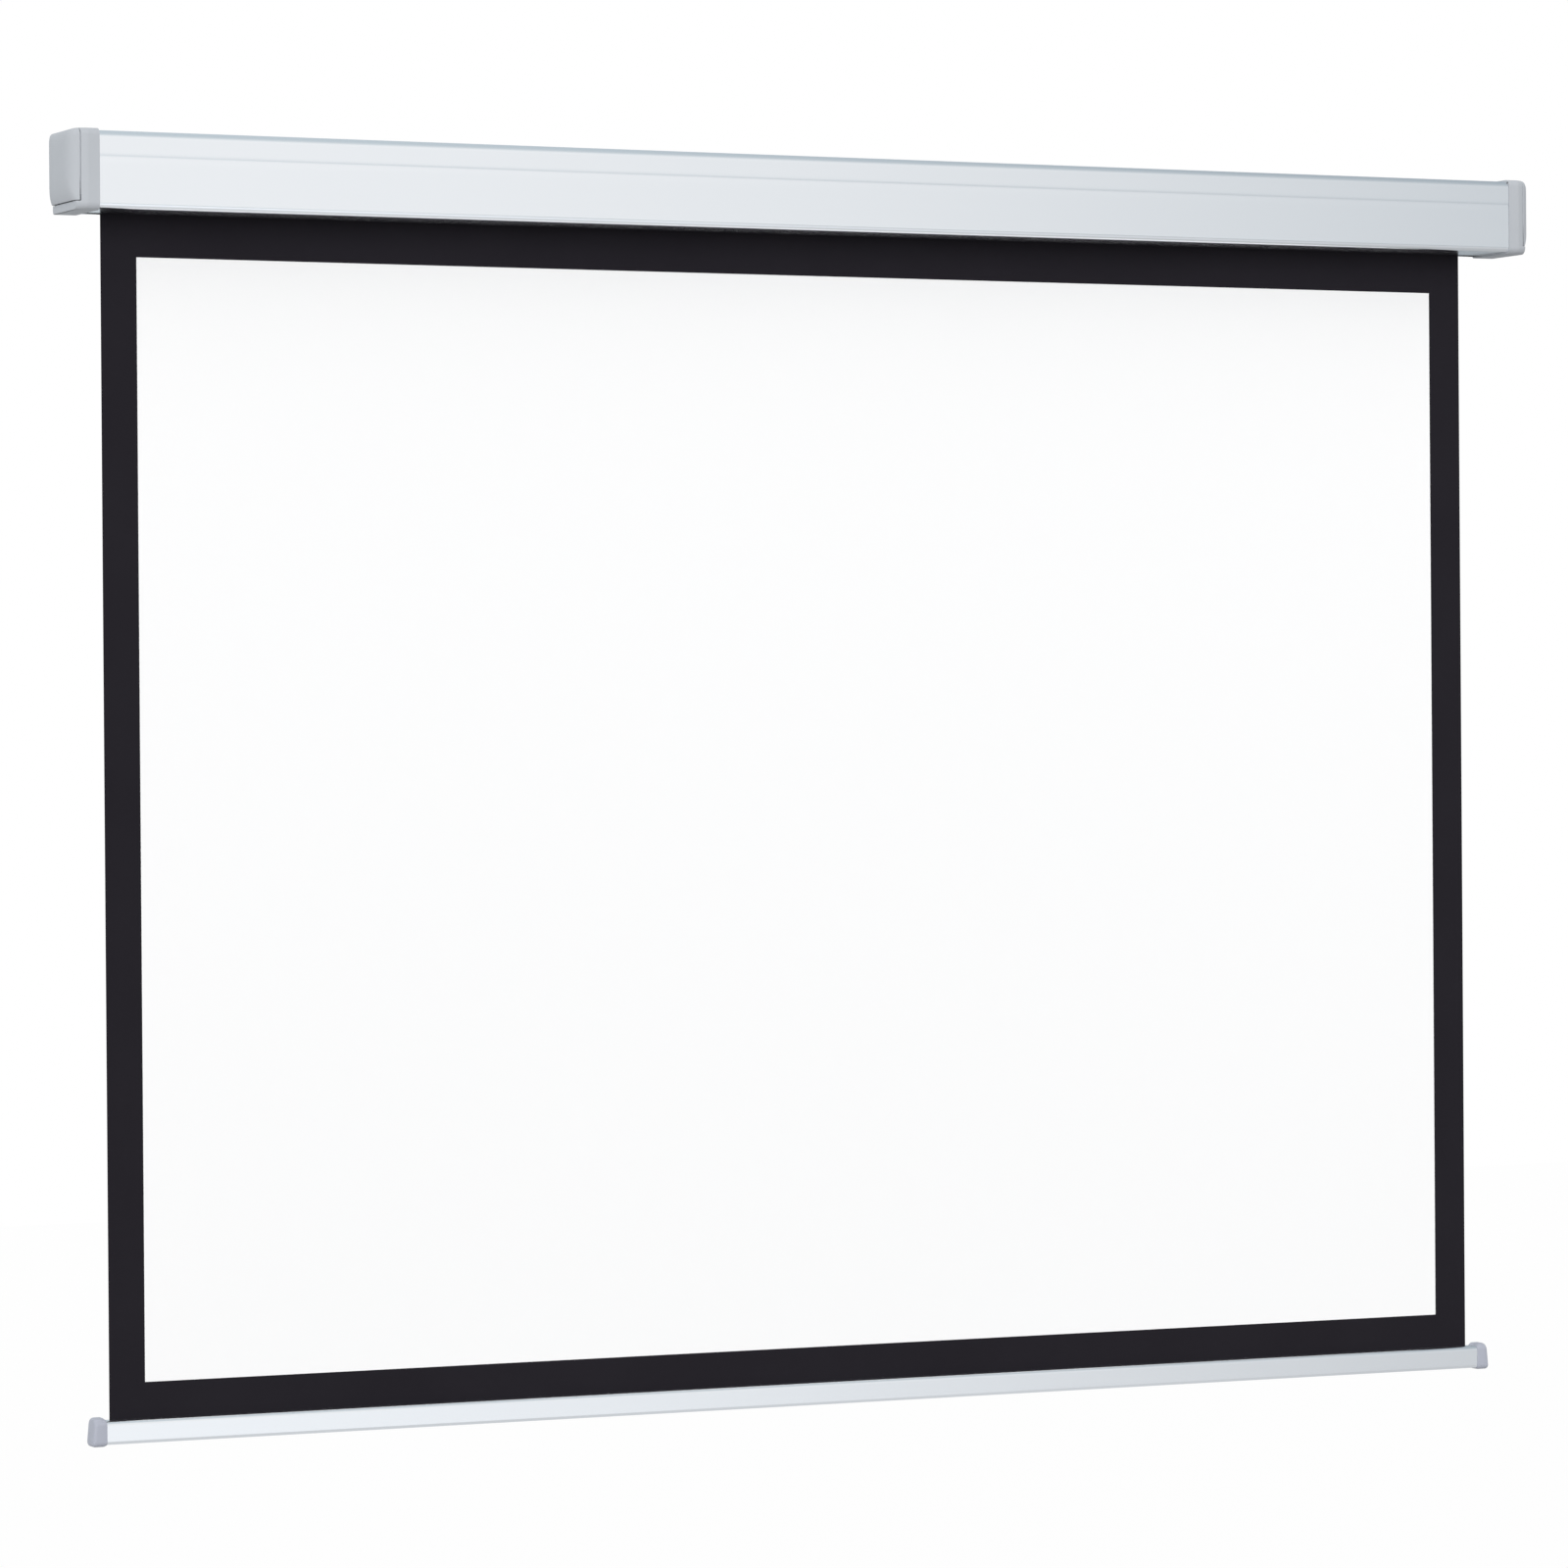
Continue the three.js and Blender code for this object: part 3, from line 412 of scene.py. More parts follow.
coat = Finish("matt_white_coat", {"Metallic": 0.0, "Specular IOR Level": 0.25})
coat_threads = weave(coat)
coat_grain = coat.noise(per_metre=1500)
coat_relief = coat_threads * COAT_THREAD_SHARE + coat_grain * (1 - COAT_THREAD_SHARE)
coat.feed("Base Color", coat.mix(coat_grain, COAT_SHADE, COAT_WHITE))
coat.roughness(coat_grain, least=0.74, most=0.86)
coat.bump(coat_relief, height=0.00003)
print("finishes", black.material.name, coat.material.name)

# %% [markdown]
# The hidden parts: zinc-plated steel with a cloudy shine, dark oiled spring steel, natural nylon
# and a porous bronze bush. Each is a noise that drifts between two colours and makes the lighter
# places a little rougher.

# %% Finishes of the inner parts
ZINC_DULL, ZINC_BRIGHT = (0.5, 0.52, 0.55, 1), (0.68, 0.69, 0.71, 1)
STEEL_DARK, STEEL_OILED = (0.1, 0.105, 0.12, 1), (0.2, 0.21, 0.23, 1)
NYLON_SHADE, NYLON_CLEAN = (0.74, 0.72, 0.65, 1), (0.82, 0.8, 0.74, 1)
BRONZE_PORE, BRONZE_FACE = (0.32, 0.2, 0.08, 1), (0.6, 0.43, 0.2, 1)

zinc = Finish("zinc_plating", {"Metallic": 1.0})
zinc_clouds = zinc.noise(per_metre=160, detail=4.0)
zinc.feed("Base Color", zinc.mix(zinc_clouds, ZINC_DULL, ZINC_BRIGHT))
zinc.roughness(zinc_clouds, least=0.26, most=0.46)
zinc.bump(zinc.noise(per_metre=1200), height=0.00002)

spring_metal = Finish("oiled_spring_steel", {"Metallic": 1.0})
oil = spring_metal.noise(per_metre=220, detail=4.0)
spring_metal.feed("Base Color", spring_metal.mix(oil, STEEL_DARK, STEEL_OILED))
spring_metal.roughness(oil, least=0.22, most=0.47)
spring_metal.bump(oil, height=0.00003)

nylon = Finish("natural_nylon", {"Metallic": 0.0, "Specular IOR Level": 0.45})
haze = nylon.noise(per_metre=60, detail=3.0)
nylon.feed("Base Color", nylon.mix(haze, NYLON_SHADE, NYLON_CLEAN))
nylon.roughness(haze, least=0.4, most=0.55)
nylon.bump(nylon.noise(per_metre=900), height=0.00004)

bronze = Finish("porous_bronze", {"Metallic": 1.0})
pores = bronze.noise(per_metre=1800, detail=3.0)
bronze.feed("Base Color", bronze.mix(pores, BRONZE_PORE, BRONZE_FACE))
bronze.roughness(pores, least=0.34, most=0.54)
bronze.bump(pores, height=0.00006)

finish_of = {
    "anodised_aluminium": anodised.material,
    "grey_plastic": case_plastic,
    "black_cloth": black.material,
    "white_coating": coat.material,
    "zinc_steel": zinc.material,
    "spring_steel": spring_metal.material,
    "nylon": nylon.material,
    "bronze": bronze.material,
}
print("finishes in all", len(finish_of))

# %% [markdown]
# Every CAD node gets the finish of its slot in the record. A node whose shape is right stays as it
# is; those that are remade below are hidden by the piece that stands for them.

# %% Finishes on the CAD nodes
for part in frame["record"]["subparts"]:
    node = frame["nodes"][part["node"]]
    node.data.materials.clear()
    node.data.materials.append(finish_of[part["material_slot"]])

# %% [markdown]
# Most pieces here are long things with one section. A section is a line of points in Y and Z. It
# is drawn as a wire, drawn out along X, rounded along its long edges, and given its wall at the
# end. Smooth shading tilts the light on a flat face that ends in a rounding, so a long cut beside
# each rounding leaves a narrow strip there, and the rest of the face stays flat. Sizes are given in
# millimetres, and MM turns them into metres. TINY and NEAR are how far apart, in metres, two places
# may lie and still count as one.

# %% Helpers for long sections
MM = 0.001
TINY = 1e-6
NEAR = 2e-6
STRIP = 0.3


def wire(bm, points, x, closed=False):
    """Edges through points (y, z) in millimetres, in the plane x."""
    verts = [bm.verts.new((x * MM, y * MM, z * MM)) for y, z in points]
    edges = [bm.edges.new(pair) for pair in zip(verts, verts[1:])]
    if closed:
        edges.append(bm.edges.new((verts[-1], verts[0])))
    return edges


def draw_out(bm, edges, length):
    """Extrudes edges along X."""
    made = bmesh.ops.extrude_edge_only(bm, edges=edges)["geom"]
    verts = [item for item in made if isinstance(item, bmesh.types.BMVert)]
    bmesh.ops.translate(bm, verts=verts, vec=(length * MM, 0, 0))


def rounded(bm, geometry, radius, segments, affect="EDGES"):
    """Rounds edges, or the corners of a flat face, with a radius in millimetres."""
    bmesh.ops.bevel(
        bm,
        geom=geometry,
        offset=radius * MM,
        offset_type="OFFSET",
        segments=segments,
        profile=0.5,
        affect=affect,
        material=-1,
    )


def cross(bm, direction, place, remove=False):
    """Cuts all faces at a place along a direction. Where asked, what lies beyond it is removed."""
    normal = Vector(direction)
    bmesh.ops.bisect_plane(
        bm,
        geom=bm.verts[:] + bm.edges[:] + bm.faces[:],
        plane_co=normal * place * MM,
        plane_no=normal,
        clear_outer=remove,
    )


def long_edges_at(bm, y, z):
    """The edges along X that stand at a corner of the section."""
    corner = Vector((y * MM, z * MM))
    return [
        edge
        for edge in bm.edges
        if all((Vector(vert.co.yz) - corner).length < TINY for vert in edge.verts)
    ]


def shade(bm, angle=30):
    """Smooth faces that break at edges sharper than the angle."""
    limit = math.radians(angle)
    for face in bm.faces:
        face.smooth = True
    for edge in bm.edges:
        edge.smooth = len(edge.link_faces) == 2 and edge.calc_face_angle() < limit


def finished(name, bm, body, slot, *replaced, materials=None):
    """Makes the piece with its finish. It rides on a body and stands for the nodes replaced."""
    mesh = bpy.data.meshes.new(name)
    bm.to_mesh(mesh)
    bm.free()
    for material in materials or [finish_of[slot]]:
        mesh.materials.append(material)
    piece = bpy.data.objects.new(name, mesh)
    scene.collection.objects.link(piece)
    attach(piece, body)
    if replaced:
        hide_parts(*replaced)
    corners = [vert.co for vert in mesh.vertices]
    low = [round(min(c[i] for c in corners) / MM, 1) for i in range(3)]
    high = [round(max(c[i] for c in corners) / MM, 1) for i in range(3)]
    print(name, "from", low, "to", high, "mm,", len(mesh.polygons), "faces")
    return piece


# %% [markdown]
# The case is an extrusion with a 2 mm wall. Its outer wall runs from the lip of the cloth slot
# forward, up the front past the soft groove, back over the top and down to the edge that hangs on
# the wall brackets. An open line, drawn out along X, gives the sheet. Bevel rounds each long edge
# with its own radius, and solidify adds the wall last, so that it follows the roundings.

# %% Outer wall of the case
CASE_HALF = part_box("case_profile")[1].x / MM
CASE_FRONT = -90
CASE_BACK = -3
CASE_TOP = 44
CASE_BOTTOM = -44
CASE_WALL = 2
CASE_TOP_RADIUS = 9
CASE_BOTTOM_RADIUS = 6
CASE_BACK_RADIUS = 2.5
CASE_ROUND_STEPS = 8
GROOVE_MIDDLE = 13
GROOVE_DEPTH = 0.45
GROOVE_HALF = 4
GROOVE_RADIUS = 1.8
GROOVE_REACH = 6.2
SLOT_RADIUS = 0.5
SLOT_FRONT = -24
SLOT_LIP_TOP = -36
HANGING_LIP = 26
BACKWARD = Vector((0, 1, 0))
FRONTWARD = -BACKWARD
UPWARD = Vector((0, 0, 1))


def add_wall(bm, wall, direction, place):
    """Gives a sheet its wall. The face nearest a place is made to look in a direction, all others
    turn with it, and the wall grows on their other side."""
    bmesh.ops.recalc_face_normals(bm, faces=bm.faces)
    place = Vector(place) * MM
    nearest = min(bm.faces, key=lambda face: (face.calc_center_median() - place).length)
    if nearest.normal.dot(direction) < 0:
        bmesh.ops.reverse_faces(bm, faces=bm.faces)
    bmesh.ops.solidify(bm, geom=bm.faces[:], thickness=wall * MM)


def outer_wall():
    bm = bmesh.new()
    line = [
        (SLOT_FRONT, SLOT_LIP_TOP),
        (SLOT_FRONT, CASE_BOTTOM),
        (CASE_FRONT, CASE_BOTTOM),
        (CASE_FRONT, GROOVE_MIDDLE - GROOVE_HALF),
        (CASE_FRONT + GROOVE_DEPTH, GROOVE_MIDDLE),
        (CASE_FRONT, GROOVE_MIDDLE + GROOVE_HALF),
        (CASE_FRONT, CASE_TOP),
        (CASE_BACK, CASE_TOP),
        (CASE_BACK, HANGING_LIP),
    ]
    draw_out(bm, wire(bm, line, -CASE_HALF), 2 * CASE_HALF)
    for y, z, radius in (
        (SLOT_FRONT, CASE_BOTTOM, SLOT_RADIUS),
        (CASE_FRONT, CASE_BOTTOM, CASE_BOTTOM_RADIUS),
        (CASE_FRONT, CASE_TOP, CASE_TOP_RADIUS),
        (CASE_BACK, CASE_TOP, CASE_BACK_RADIUS),
        (CASE_FRONT, GROOVE_MIDDLE - GROOVE_HALF, GROOVE_RADIUS),
        (CASE_FRONT + GROOVE_DEPTH, GROOVE_MIDDLE, GROOVE_RADIUS),
        (CASE_FRONT, GROOVE_MIDDLE + GROOVE_HALF, GROOVE_RADIUS),
    ):
        rounded(bm, long_edges_at(bm, y, z), radius, CASE_ROUND_STEPS)
    for height in (
        CASE_TOP - CASE_TOP_RADIUS - STRIP,
        GROOVE_MIDDLE + GROOVE_REACH,
        GROOVE_MIDDLE - GROOVE_REACH,
        CASE_BOTTOM + CASE_BOTTOM_RADIUS + STRIP,
    ):
        cross(bm, UPWARD, height)
    for depth in (
        CASE_FRONT + CASE_BOTTOM_RADIUS + STRIP,
        CASE_FRONT + CASE_TOP_RADIUS + STRIP,
        CASE_BACK - CASE_BACK_RADIUS - STRIP,
    ):
        cross(bm, BACKWARD, depth)
    add_wall(bm, CASE_WALL, FRONTWARD, (0, CASE_FRONT, 0))
    return bm


outside = outer_wall()
print("outer wall of the case", len(outside.faces), "faces")

# %% [markdown]
# A second sheet makes the back, with the channel that hooks over the wall brackets, and three round
# ports inside the case take the screws of the end plates. None of them shows from the front, so
# they need no roundings. The sheets overlap a little, where the real extrusion is all one metal.

# %% Back, screw ports and the whole case
CHANNEL_BOTTOM = 14
CHANNEL_TOP = 33
CHANNEL_FLOOR = -9.5
PORTS = [(-84.5, 38.5), (-84.5, -38.5), (-8.5, 38.5)]
PORT_RADIUS = 4
PORT_WALL = 2
PORT_STEPS = 24


def back_wall():
    bm = bmesh.new()
    line = [
        (CASE_BACK, CASE_BOTTOM),
        (CASE_BACK, CHANNEL_BOTTOM),
        (CHANNEL_FLOOR, CHANNEL_BOTTOM),
        (CHANNEL_FLOOR, CHANNEL_TOP),
        (CASE_BACK - CASE_WALL / 2, CHANNEL_TOP),
    ]
    draw_out(bm, wire(bm, line, -CASE_HALF), 2 * CASE_HALF)
    add_wall(bm, CASE_WALL, BACKWARD, (0, CASE_BACK, (CASE_BOTTOM + CHANNEL_BOTTOM) / 2))
    return bm


def across_x(x, y, z):
    """The place of a flat shape that looks along X."""
    return Matrix.Translation((x * MM, y * MM, z * MM)) @ Matrix.Rotation(math.pi / 2, 4, "Y")


def screw_port(y, z):
    """A round tube along the case."""
    bm = bmesh.new()
    place = across_x(-CASE_HALF, y, z)
    bmesh.ops.create_circle(bm, segments=PORT_STEPS, radius=PORT_RADIUS * MM, matrix=place)
    draw_out(bm, bm.edges[:], 2 * CASE_HALF)
    add_wall(bm, PORT_WALL, UPWARD, (0, y, z + PORT_RADIUS))
    return bm


def joined(pieces):
    """One bmesh that holds several."""
    whole = bmesh.new()
    for piece in pieces:
        mesh = bpy.data.meshes.new("part")
        piece.to_mesh(mesh)
        piece.free()
        whole.from_mesh(mesh)
        bpy.data.meshes.remove(mesh)
    return whole


whole_case = joined([outside, back_wall()] + [screw_port(y, z) for y, z in PORTS])
shade(whole_case)
finished("case_extrusion", whole_case, "case", "anodised_aluminium", "case_profile")

# %% [markdown]
# The end cap and its side cover are cut from one pillow-like moulding: straight next to the case,
# then a dome, with a soft crease between them. It is built up from rings across X. Each starts as a
# flat grid of one face, whose corners bevel rounds, with smaller radii at the back.

# %% Rings of the end moulding
CAP_FRONT = -91
CAP_BACK = -2
CAP_BOTTOM = -46
CAP_TOP = 46
CAP_CORNER = 8
CAP_BACK_CORNER = 4
CORNER_STEPS = 8
LEAST_FLAT = 0.3


def rounded_ring(bm, x, front, back, bottom, top, corner, back_corner):
    """A flat face with rounded corners in the plane x, in millimetres."""
    depth, height = back - front, top - bottom
    largest = min(depth, height) / 2 - LEAST_FLAT
    flat_to_ring = Matrix(
        (
            (0, 0, 1, x * MM),
            (depth * MM, 0, 0, (front + back) / 2 * MM),
            (0, height * MM, 0, (bottom + top) / 2 * MM),
            (0, 0, 0, 1),
        )
    )
    made = bmesh.ops.create_grid(bm, x_segments=1, y_segments=1, size=0.5, matrix=flat_to_ring)
    middle = (front + back) / 2 * MM
    fronts = [vert for vert in made["verts"] if vert.co.y < middle]
    backs = [vert for vert in made["verts"] if vert.co.y > middle]
    for verts, radius in ((fronts, corner), (backs, back_corner)):
        rounded(bm, verts, min(radius, largest), CORNER_STEPS, affect="VERTICES")
    return [face for face in bm.faces if all(abs(v.co.x - x * MM) < TINY for v in face.verts)]


print("end cap", CAP_BACK - CAP_FRONT, "mm deep and", CAP_TOP - CAP_BOTTOM, "mm high")

# %% [markdown]
# From the crease outwards the moulding is drawn in along superellipses, which start straight and
# turn in steeply near the end, as on the real cover. Its front leans in a little all the way. The
# cap keeps its full height below, where its lip carries the cover, and only the cover is drawn in
# from below too.

# %% Curve of the dome
DOME_START = CASE_HALF + 13.8
DOME_REACH = 21.2
SIDE_INSET = 40
TOP_INSET = 34
SIDE_POWER = 4
TOP_POWER = 5
FRONT_LEAN = 0.36
COVER_RISE = 31
RISE_POWER = 2
CREASE_HALF = 1.5


def rounding(along, power):
    """A superellipse's way inwards, from 0 to 1, for its way along."""
    return 1 - max(1 - along**power, 0) ** (1 / power)


def drawn_in_at(out):
    """How far front, back, top and bottom are drawn in at a distance out from the dome's start."""
    along = min(max(out / DOME_REACH, 0), 1)
    if abs(out) < CREASE_HALF:
        leaned = FRONT_LEAN * (out + CREASE_HALF) ** 2 / (4 * CREASE_HALF)
    else:
        leaned = FRONT_LEAN * max(out, 0)
    side = rounding(along, SIDE_POWER)
    front = leaned + (SIDE_INSET - FRONT_LEAN * DOME_REACH) * side
    top = TOP_INSET * rounding(along, TOP_POWER)
    return front, SIDE_INSET * side, top, top + COVER_RISE * rounding(along, RISE_POWER)


print("drawn in half way out", [round(way, 2) for way in drawn_in_at(DOME_REACH / 2)], "mm")

# %% [markdown]
# The rings stand close together at the crease and where the curve turns steeply, and bridge_loops
# joins each to the next. Their corners get rounder as they shrink. What remains is a skin that is
# open towards the case.

# %% Skin of the moulding
CREASE_STEPS = 4
DOME_STEPS = 24
DOME_SWELL = 0.5


def moulding(inset, shift, bottom_stays):
    """The skin at the right end, drawn in by an inset all round and shifted at its outer end."""
    bm = bmesh.new()
    outs = [CASE_HALF - DOME_START]
    outs += [CREASE_HALF * (2 * k / CREASE_STEPS - 1) for k in range(CREASE_STEPS + 1)]
    for step in range(1, DOME_STEPS + 1):
        outs.append(DOME_REACH * math.sin(step / DOME_STEPS * math.pi / 2) ** (2 / TOP_POWER))
    rims = []
    for out in outs:
        front, back, top, bottom = drawn_in_at(out)
        flat = rounded_ring(
            bm,
            DOME_START - (shift if out > CREASE_HALF else 0) + out,
            CAP_FRONT + inset + front,
            CAP_BACK - inset - back,
            CAP_BOTTOM + inset + (0 if bottom_stays else bottom),
            CAP_TOP - inset - top,
            CAP_CORNER - inset + DOME_SWELL * top,
            CAP_BACK_CORNER - inset + DOME_SWELL * top,
        )
        rims.append((flat, list(flat[0].edges)))
    for (flat, rim), (_, next_rim) in zip(rims, rims[1:]):
        bmesh.ops.delete(bm, geom=flat, context="FACES_ONLY")
        bmesh.ops.bridge_loops(bm, edges=rim + next_rim)
    bmesh.ops.recalc_face_normals(bm, faces=bm.faces)
    return bm


print("rings", CREASE_STEPS + DOME_STEPS + 2)

# %% [markdown]
# Cap and cover are cut from such skins, an outer and an inner one each, and flat rims join the two.
# The cap ends at the seam, apart from its lip, which goes on under the cover. The cover starts just
# outside the seam and just above the lip. The gap that is left all round is the slit seen at the
# real screen's end.

# %% Cap and cover as shells
CAP_WALL = 2.5
COVER_WALL = 2.2
SEAM = CASE_HALF + 21.2
COVER_START = SEAM + 0.6
LIP_END = COVER_START + 4.6
LIP_TOP = CAP_BOTTOM + 9.7
COVER_BOTTOM = LIP_TOP + 0.9
OUTWARD = Vector((1, 0, 0))


def lies_at(edge, axis, place):
    """True for an edge in the plane across an axis (0 for X, 2 for Z) at a place."""
    return all(abs(vert.co[axis] - place * MM) < NEAR for vert in edge.verts)


def rim_edges(bm, axis, place):
    return [edge for edge in bm.edges if edge.is_boundary and lies_at(edge, axis, place)]


def close_shelf(bm, edges):
    """Fills the flat opening behind a chain of open edges, from its one end to the other."""
    ends = [v for e in edges for v in e.verts if sum(v in f.verts for f in edges) == 1]
    edges = edges + [bm.edges.new(ends)]
    bmesh.ops.contextual_create(bm, geom=edges)


def cap_skin(wall):
    """One side of the cap's wall: outside for a wall of 0, inside for its thickness."""
    bm = moulding(wall, 0, bottom_stays=True)
    end, shelf = LIP_END - wall, LIP_TOP - wall
    cross(bm, OUTWARD, end, remove=True)
    cross(bm, OUTWARD, SEAM)
    cross(bm, UPWARD, shelf)
    middles = [(face, face.calc_center_median() / MM) for face in bm.faces]
    above = [face for face, middle in middles if middle.x > SEAM and middle.z > shelf]
    bmesh.ops.delete(bm, geom=above, context="FACES")
    close_shelf(bm, rim_edges(bm, 0, end))
    close_shelf(bm, rim_edges(bm, 2, shelf))
    return bm


def cover_skin(wall):
    """One side of the cover's wall, with its floor above the slit."""
    bm = moulding(wall, wall, bottom_stays=False)
    cross(bm, -OUTWARD, -COVER_START, remove=True)
    cross(bm, -UPWARD, -(COVER_BOTTOM + wall), remove=True)
    close_shelf(bm, rim_edges(bm, 2, COVER_BOTTOM + wall))
    return bm


def walled(skin, wall, openings):
    """Outside and inside skins, joined by flat rims where the piece is open along X."""
    bm = joined([skin(0), skin(wall)])
    for x in openings:
        bmesh.ops.bridge_loops(bm, edges=rim_edges(bm, 0, x))
    bmesh.ops.recalc_face_normals(bm, faces=bm.faces)
    return bm


print("seam", round(SEAM - CASE_HALF, 1), "mm out from the case")

# %% [markdown]
# Two more things belong to them and stay hidden. A web inside the cap is what the screws clamp, and
# it has holes for the roller's shaft and the screws. A thin rim on the cover snaps into the cap.
# Both are flat or straight sheets, which are given a wall.

# %% Web and snap rim
AXIS_Y = -40.1
AXIS_Z = -2
WEB_START = CASE_HALF + 2
WEB_OVERLAP = 0.2
WEB_HOLE = 10
WEB_HOLE_STEPS = 32
SCREW_HOLE = 2
RIM_INSET = 4.2
RIM_LENGTH = 5
RIM_WALL = 1.6
RIM_BACK_CORNER = 0.5


def end_web():
    bm = bmesh.new()
    inset = CAP_WALL - WEB_OVERLAP
    sides = (CAP_FRONT + inset, CAP_BACK - inset, CAP_BOTTOM + inset, CAP_TOP - inset)
    flat = rounded_ring(bm, WEB_START, *sides, CAP_CORNER - inset, CAP_BACK_CORNER - inset)
    bmesh.ops.delete(bm, geom=flat, context="FACES_ONLY")
    for y, z, radius in [(AXIS_Y, AXIS_Z, WEB_HOLE)] + [(*hole, SCREW_HOLE) for hole in PORTS]:
        place = across_x(WEB_START, y, z)
        bmesh.ops.create_circle(bm, segments=WEB_HOLE_STEPS, radius=radius * MM, matrix=place)
    bmesh.ops.triangle_fill(bm, edges=bm.edges, use_beauty=True, use_dissolve=False)
    add_wall(bm, CAP_WALL, -OUTWARD, (WEB_START, 0, 0))
    return bm


def snap_rim():
    bm = bmesh.new()
    front, back = CAP_FRONT + RIM_INSET, CAP_BACK - RIM_INSET
    heights = (COVER_BOTTOM + RIM_INSET, CAP_TOP - RIM_INSET)
    corners = (CAP_CORNER - RIM_INSET, RIM_BACK_CORNER)
    flat = rounded_ring(bm, SEAM - RIM_LENGTH, front, back, *heights, *corners)
    bmesh.ops.delete(bm, geom=flat, context="FACES_ONLY")
    draw_out(bm, bm.edges[:], RIM_LENGTH + COVER_START - SEAM + COVER_WALL)
    add_wall(bm, RIM_WALL, FRONTWARD, (SEAM, front, 0))
    return bm


print("web with", len(PORTS), "screw holes, rim", RIM_LENGTH, "mm into the cap")

# %% [markdown]
# A moulded edge is never quite sharp. Those at the seam, at the lip's end and round the cover are
# broken with small radii, so that they catch a thin line of light. The left end is the mirror image
# of the right one.

# %% Both ends with broken edges
EDGE_STEPS = 3
WALL_SLOPE = 0.7
FLAT_SLOPE = 0.9
SEAM_EDGE = 0.3
LIP_EDGE = 1.2
COVER_EDGE = 0.8


def break_edges(bm, place, radius):
    """Rounds the outer edge where a wall ends in the plane at a place along X."""
    middle = Vector((0, (CAP_FRONT + CAP_BACK) / 2 * MM, 0))
    edges = []
    for edge in bm.edges:
        if len(edge.link_faces) != 2 or not lies_at(edge, 0, place):
            continue
        walls = [face for face in edge.link_faces if abs(face.normal.x) < WALL_SLOPE]
        flats = [face for face in edge.link_faces if abs(face.normal.x) > FLAT_SLOPE]
        outward = (edge.verts[0].co + edge.verts[1].co) / 2 - middle
        if walls and flats and walls[0].normal.dot(outward) > 0:
            edges.append(edge)
    rounded(bm, edges, radius, EDGE_STEPS)
    return len(edges)


def mirrored(bm):
    """Makes a right-hand piece a left-hand one."""
    bmesh.ops.scale(bm, vec=(-1, 1, 1), verts=bm.verts)
    bmesh.ops.reverse_faces(bm, faces=bm.faces)


for side in ("right", "left"):
    cap = walled(cap_skin, CAP_WALL, (CASE_HALF, SEAM))
    broken = break_edges(cap, SEAM, SEAM_EDGE) + break_edges(cap, LIP_END, LIP_EDGE)
    cover = walled(cover_skin, COVER_WALL, (COVER_START,))
    broken += break_edges(cover, COVER_START, COVER_EDGE)
    print(side, "broken edges", broken)
    cap = joined([cap, end_web()])
    cover = joined([cover, snap_rim()])
    for bm in (cap, cover):
        if side == "left":
            mirrored(bm)
        shade(bm)
    finished(side + "_cap_moulding", cap, "case", "grey_plastic", side + "_end_cap")
    finished(side + "_cover_moulding", cover, "case", "grey_plastic", side + "_side_cover")

# %% [markdown]
# The weight bar is an extrusion with soft corners. The wire goes once round the outside, down into
# the slot, round the channel that holds the hem, and up again. One wall thickness on the metal side
# then makes bar, slot and channel together. A point beside each rounded corner makes the narrow
# strip that keeps the face next to it flat.

# %% Section of the weight bar
BAR_TOP = -1413.16
CLOTH_Y = -12
BAR_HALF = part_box("bar_profile")[1].x / MM
BAR_FRONT = -16
BAR_BACK = 8
BAR_HEIGHT = 27
BAR_TOP_RADIUS = 5
BAR_BOTTOM_RADIUS = 4
BAR_BACK_RADIUS = 5
BAR_CORNERS = (BAR_TOP_RADIUS, BAR_BOTTOM_RADIUS, BAR_BACK_RADIUS)
CORNER_POINTS = 10
HEM_DEPTH = 7.5
CHANNEL_RADIUS = 3.4
CHANNEL_STEPS = 24
SLOT_HALF = 0.7
SLOT_EDGE = 0.3
SLOT_EDGE_STEPS = 2
BAR_WALL = 1.6


def away(point, distance, turn):
    """The point (y, z) moved by a distance at an angle."""
    return (point[0] + distance * math.cos(turn), point[1] + distance * math.sin(turn))


def quarter_turn(y, z, radius, start):
    """A rounded corner, clockwise from an angle in degrees, with a strip's point at both ends."""
    turns = [math.radians(start - 90 * k / CORNER_POINTS) for k in range(CORNER_POINTS + 1)]
    points = [away((y, z), radius, turn) for turn in turns]
    first = away(points[0], STRIP, turns[0] + math.pi / 2)
    last = away(points[-1], STRIP, turns[-1] - math.pi / 2)
    return [first, *points, last]


def bar_outline(front, back, top, bottom, top_corner, bottom_corner, back_corner):
    """The rounded section from its top, down behind, and up in front to the top again."""
    return (
        quarter_turn(back - back_corner, top - back_corner, back_corner, 90)
        + quarter_turn(back - back_corner, bottom + back_corner, back_corner, 0)
        + quarter_turn(front + bottom_corner, bottom + bottom_corner, bottom_corner, -90)
        + quarter_turn(front + top_corner, top - top_corner, top_corner, 180)
    )


def on_bar(points):
    """Points drawn about the top of the bar in the cloth's plane, put in their place."""
    return [(y + CLOTH_Y, z + BAR_TOP) for y, z in points]


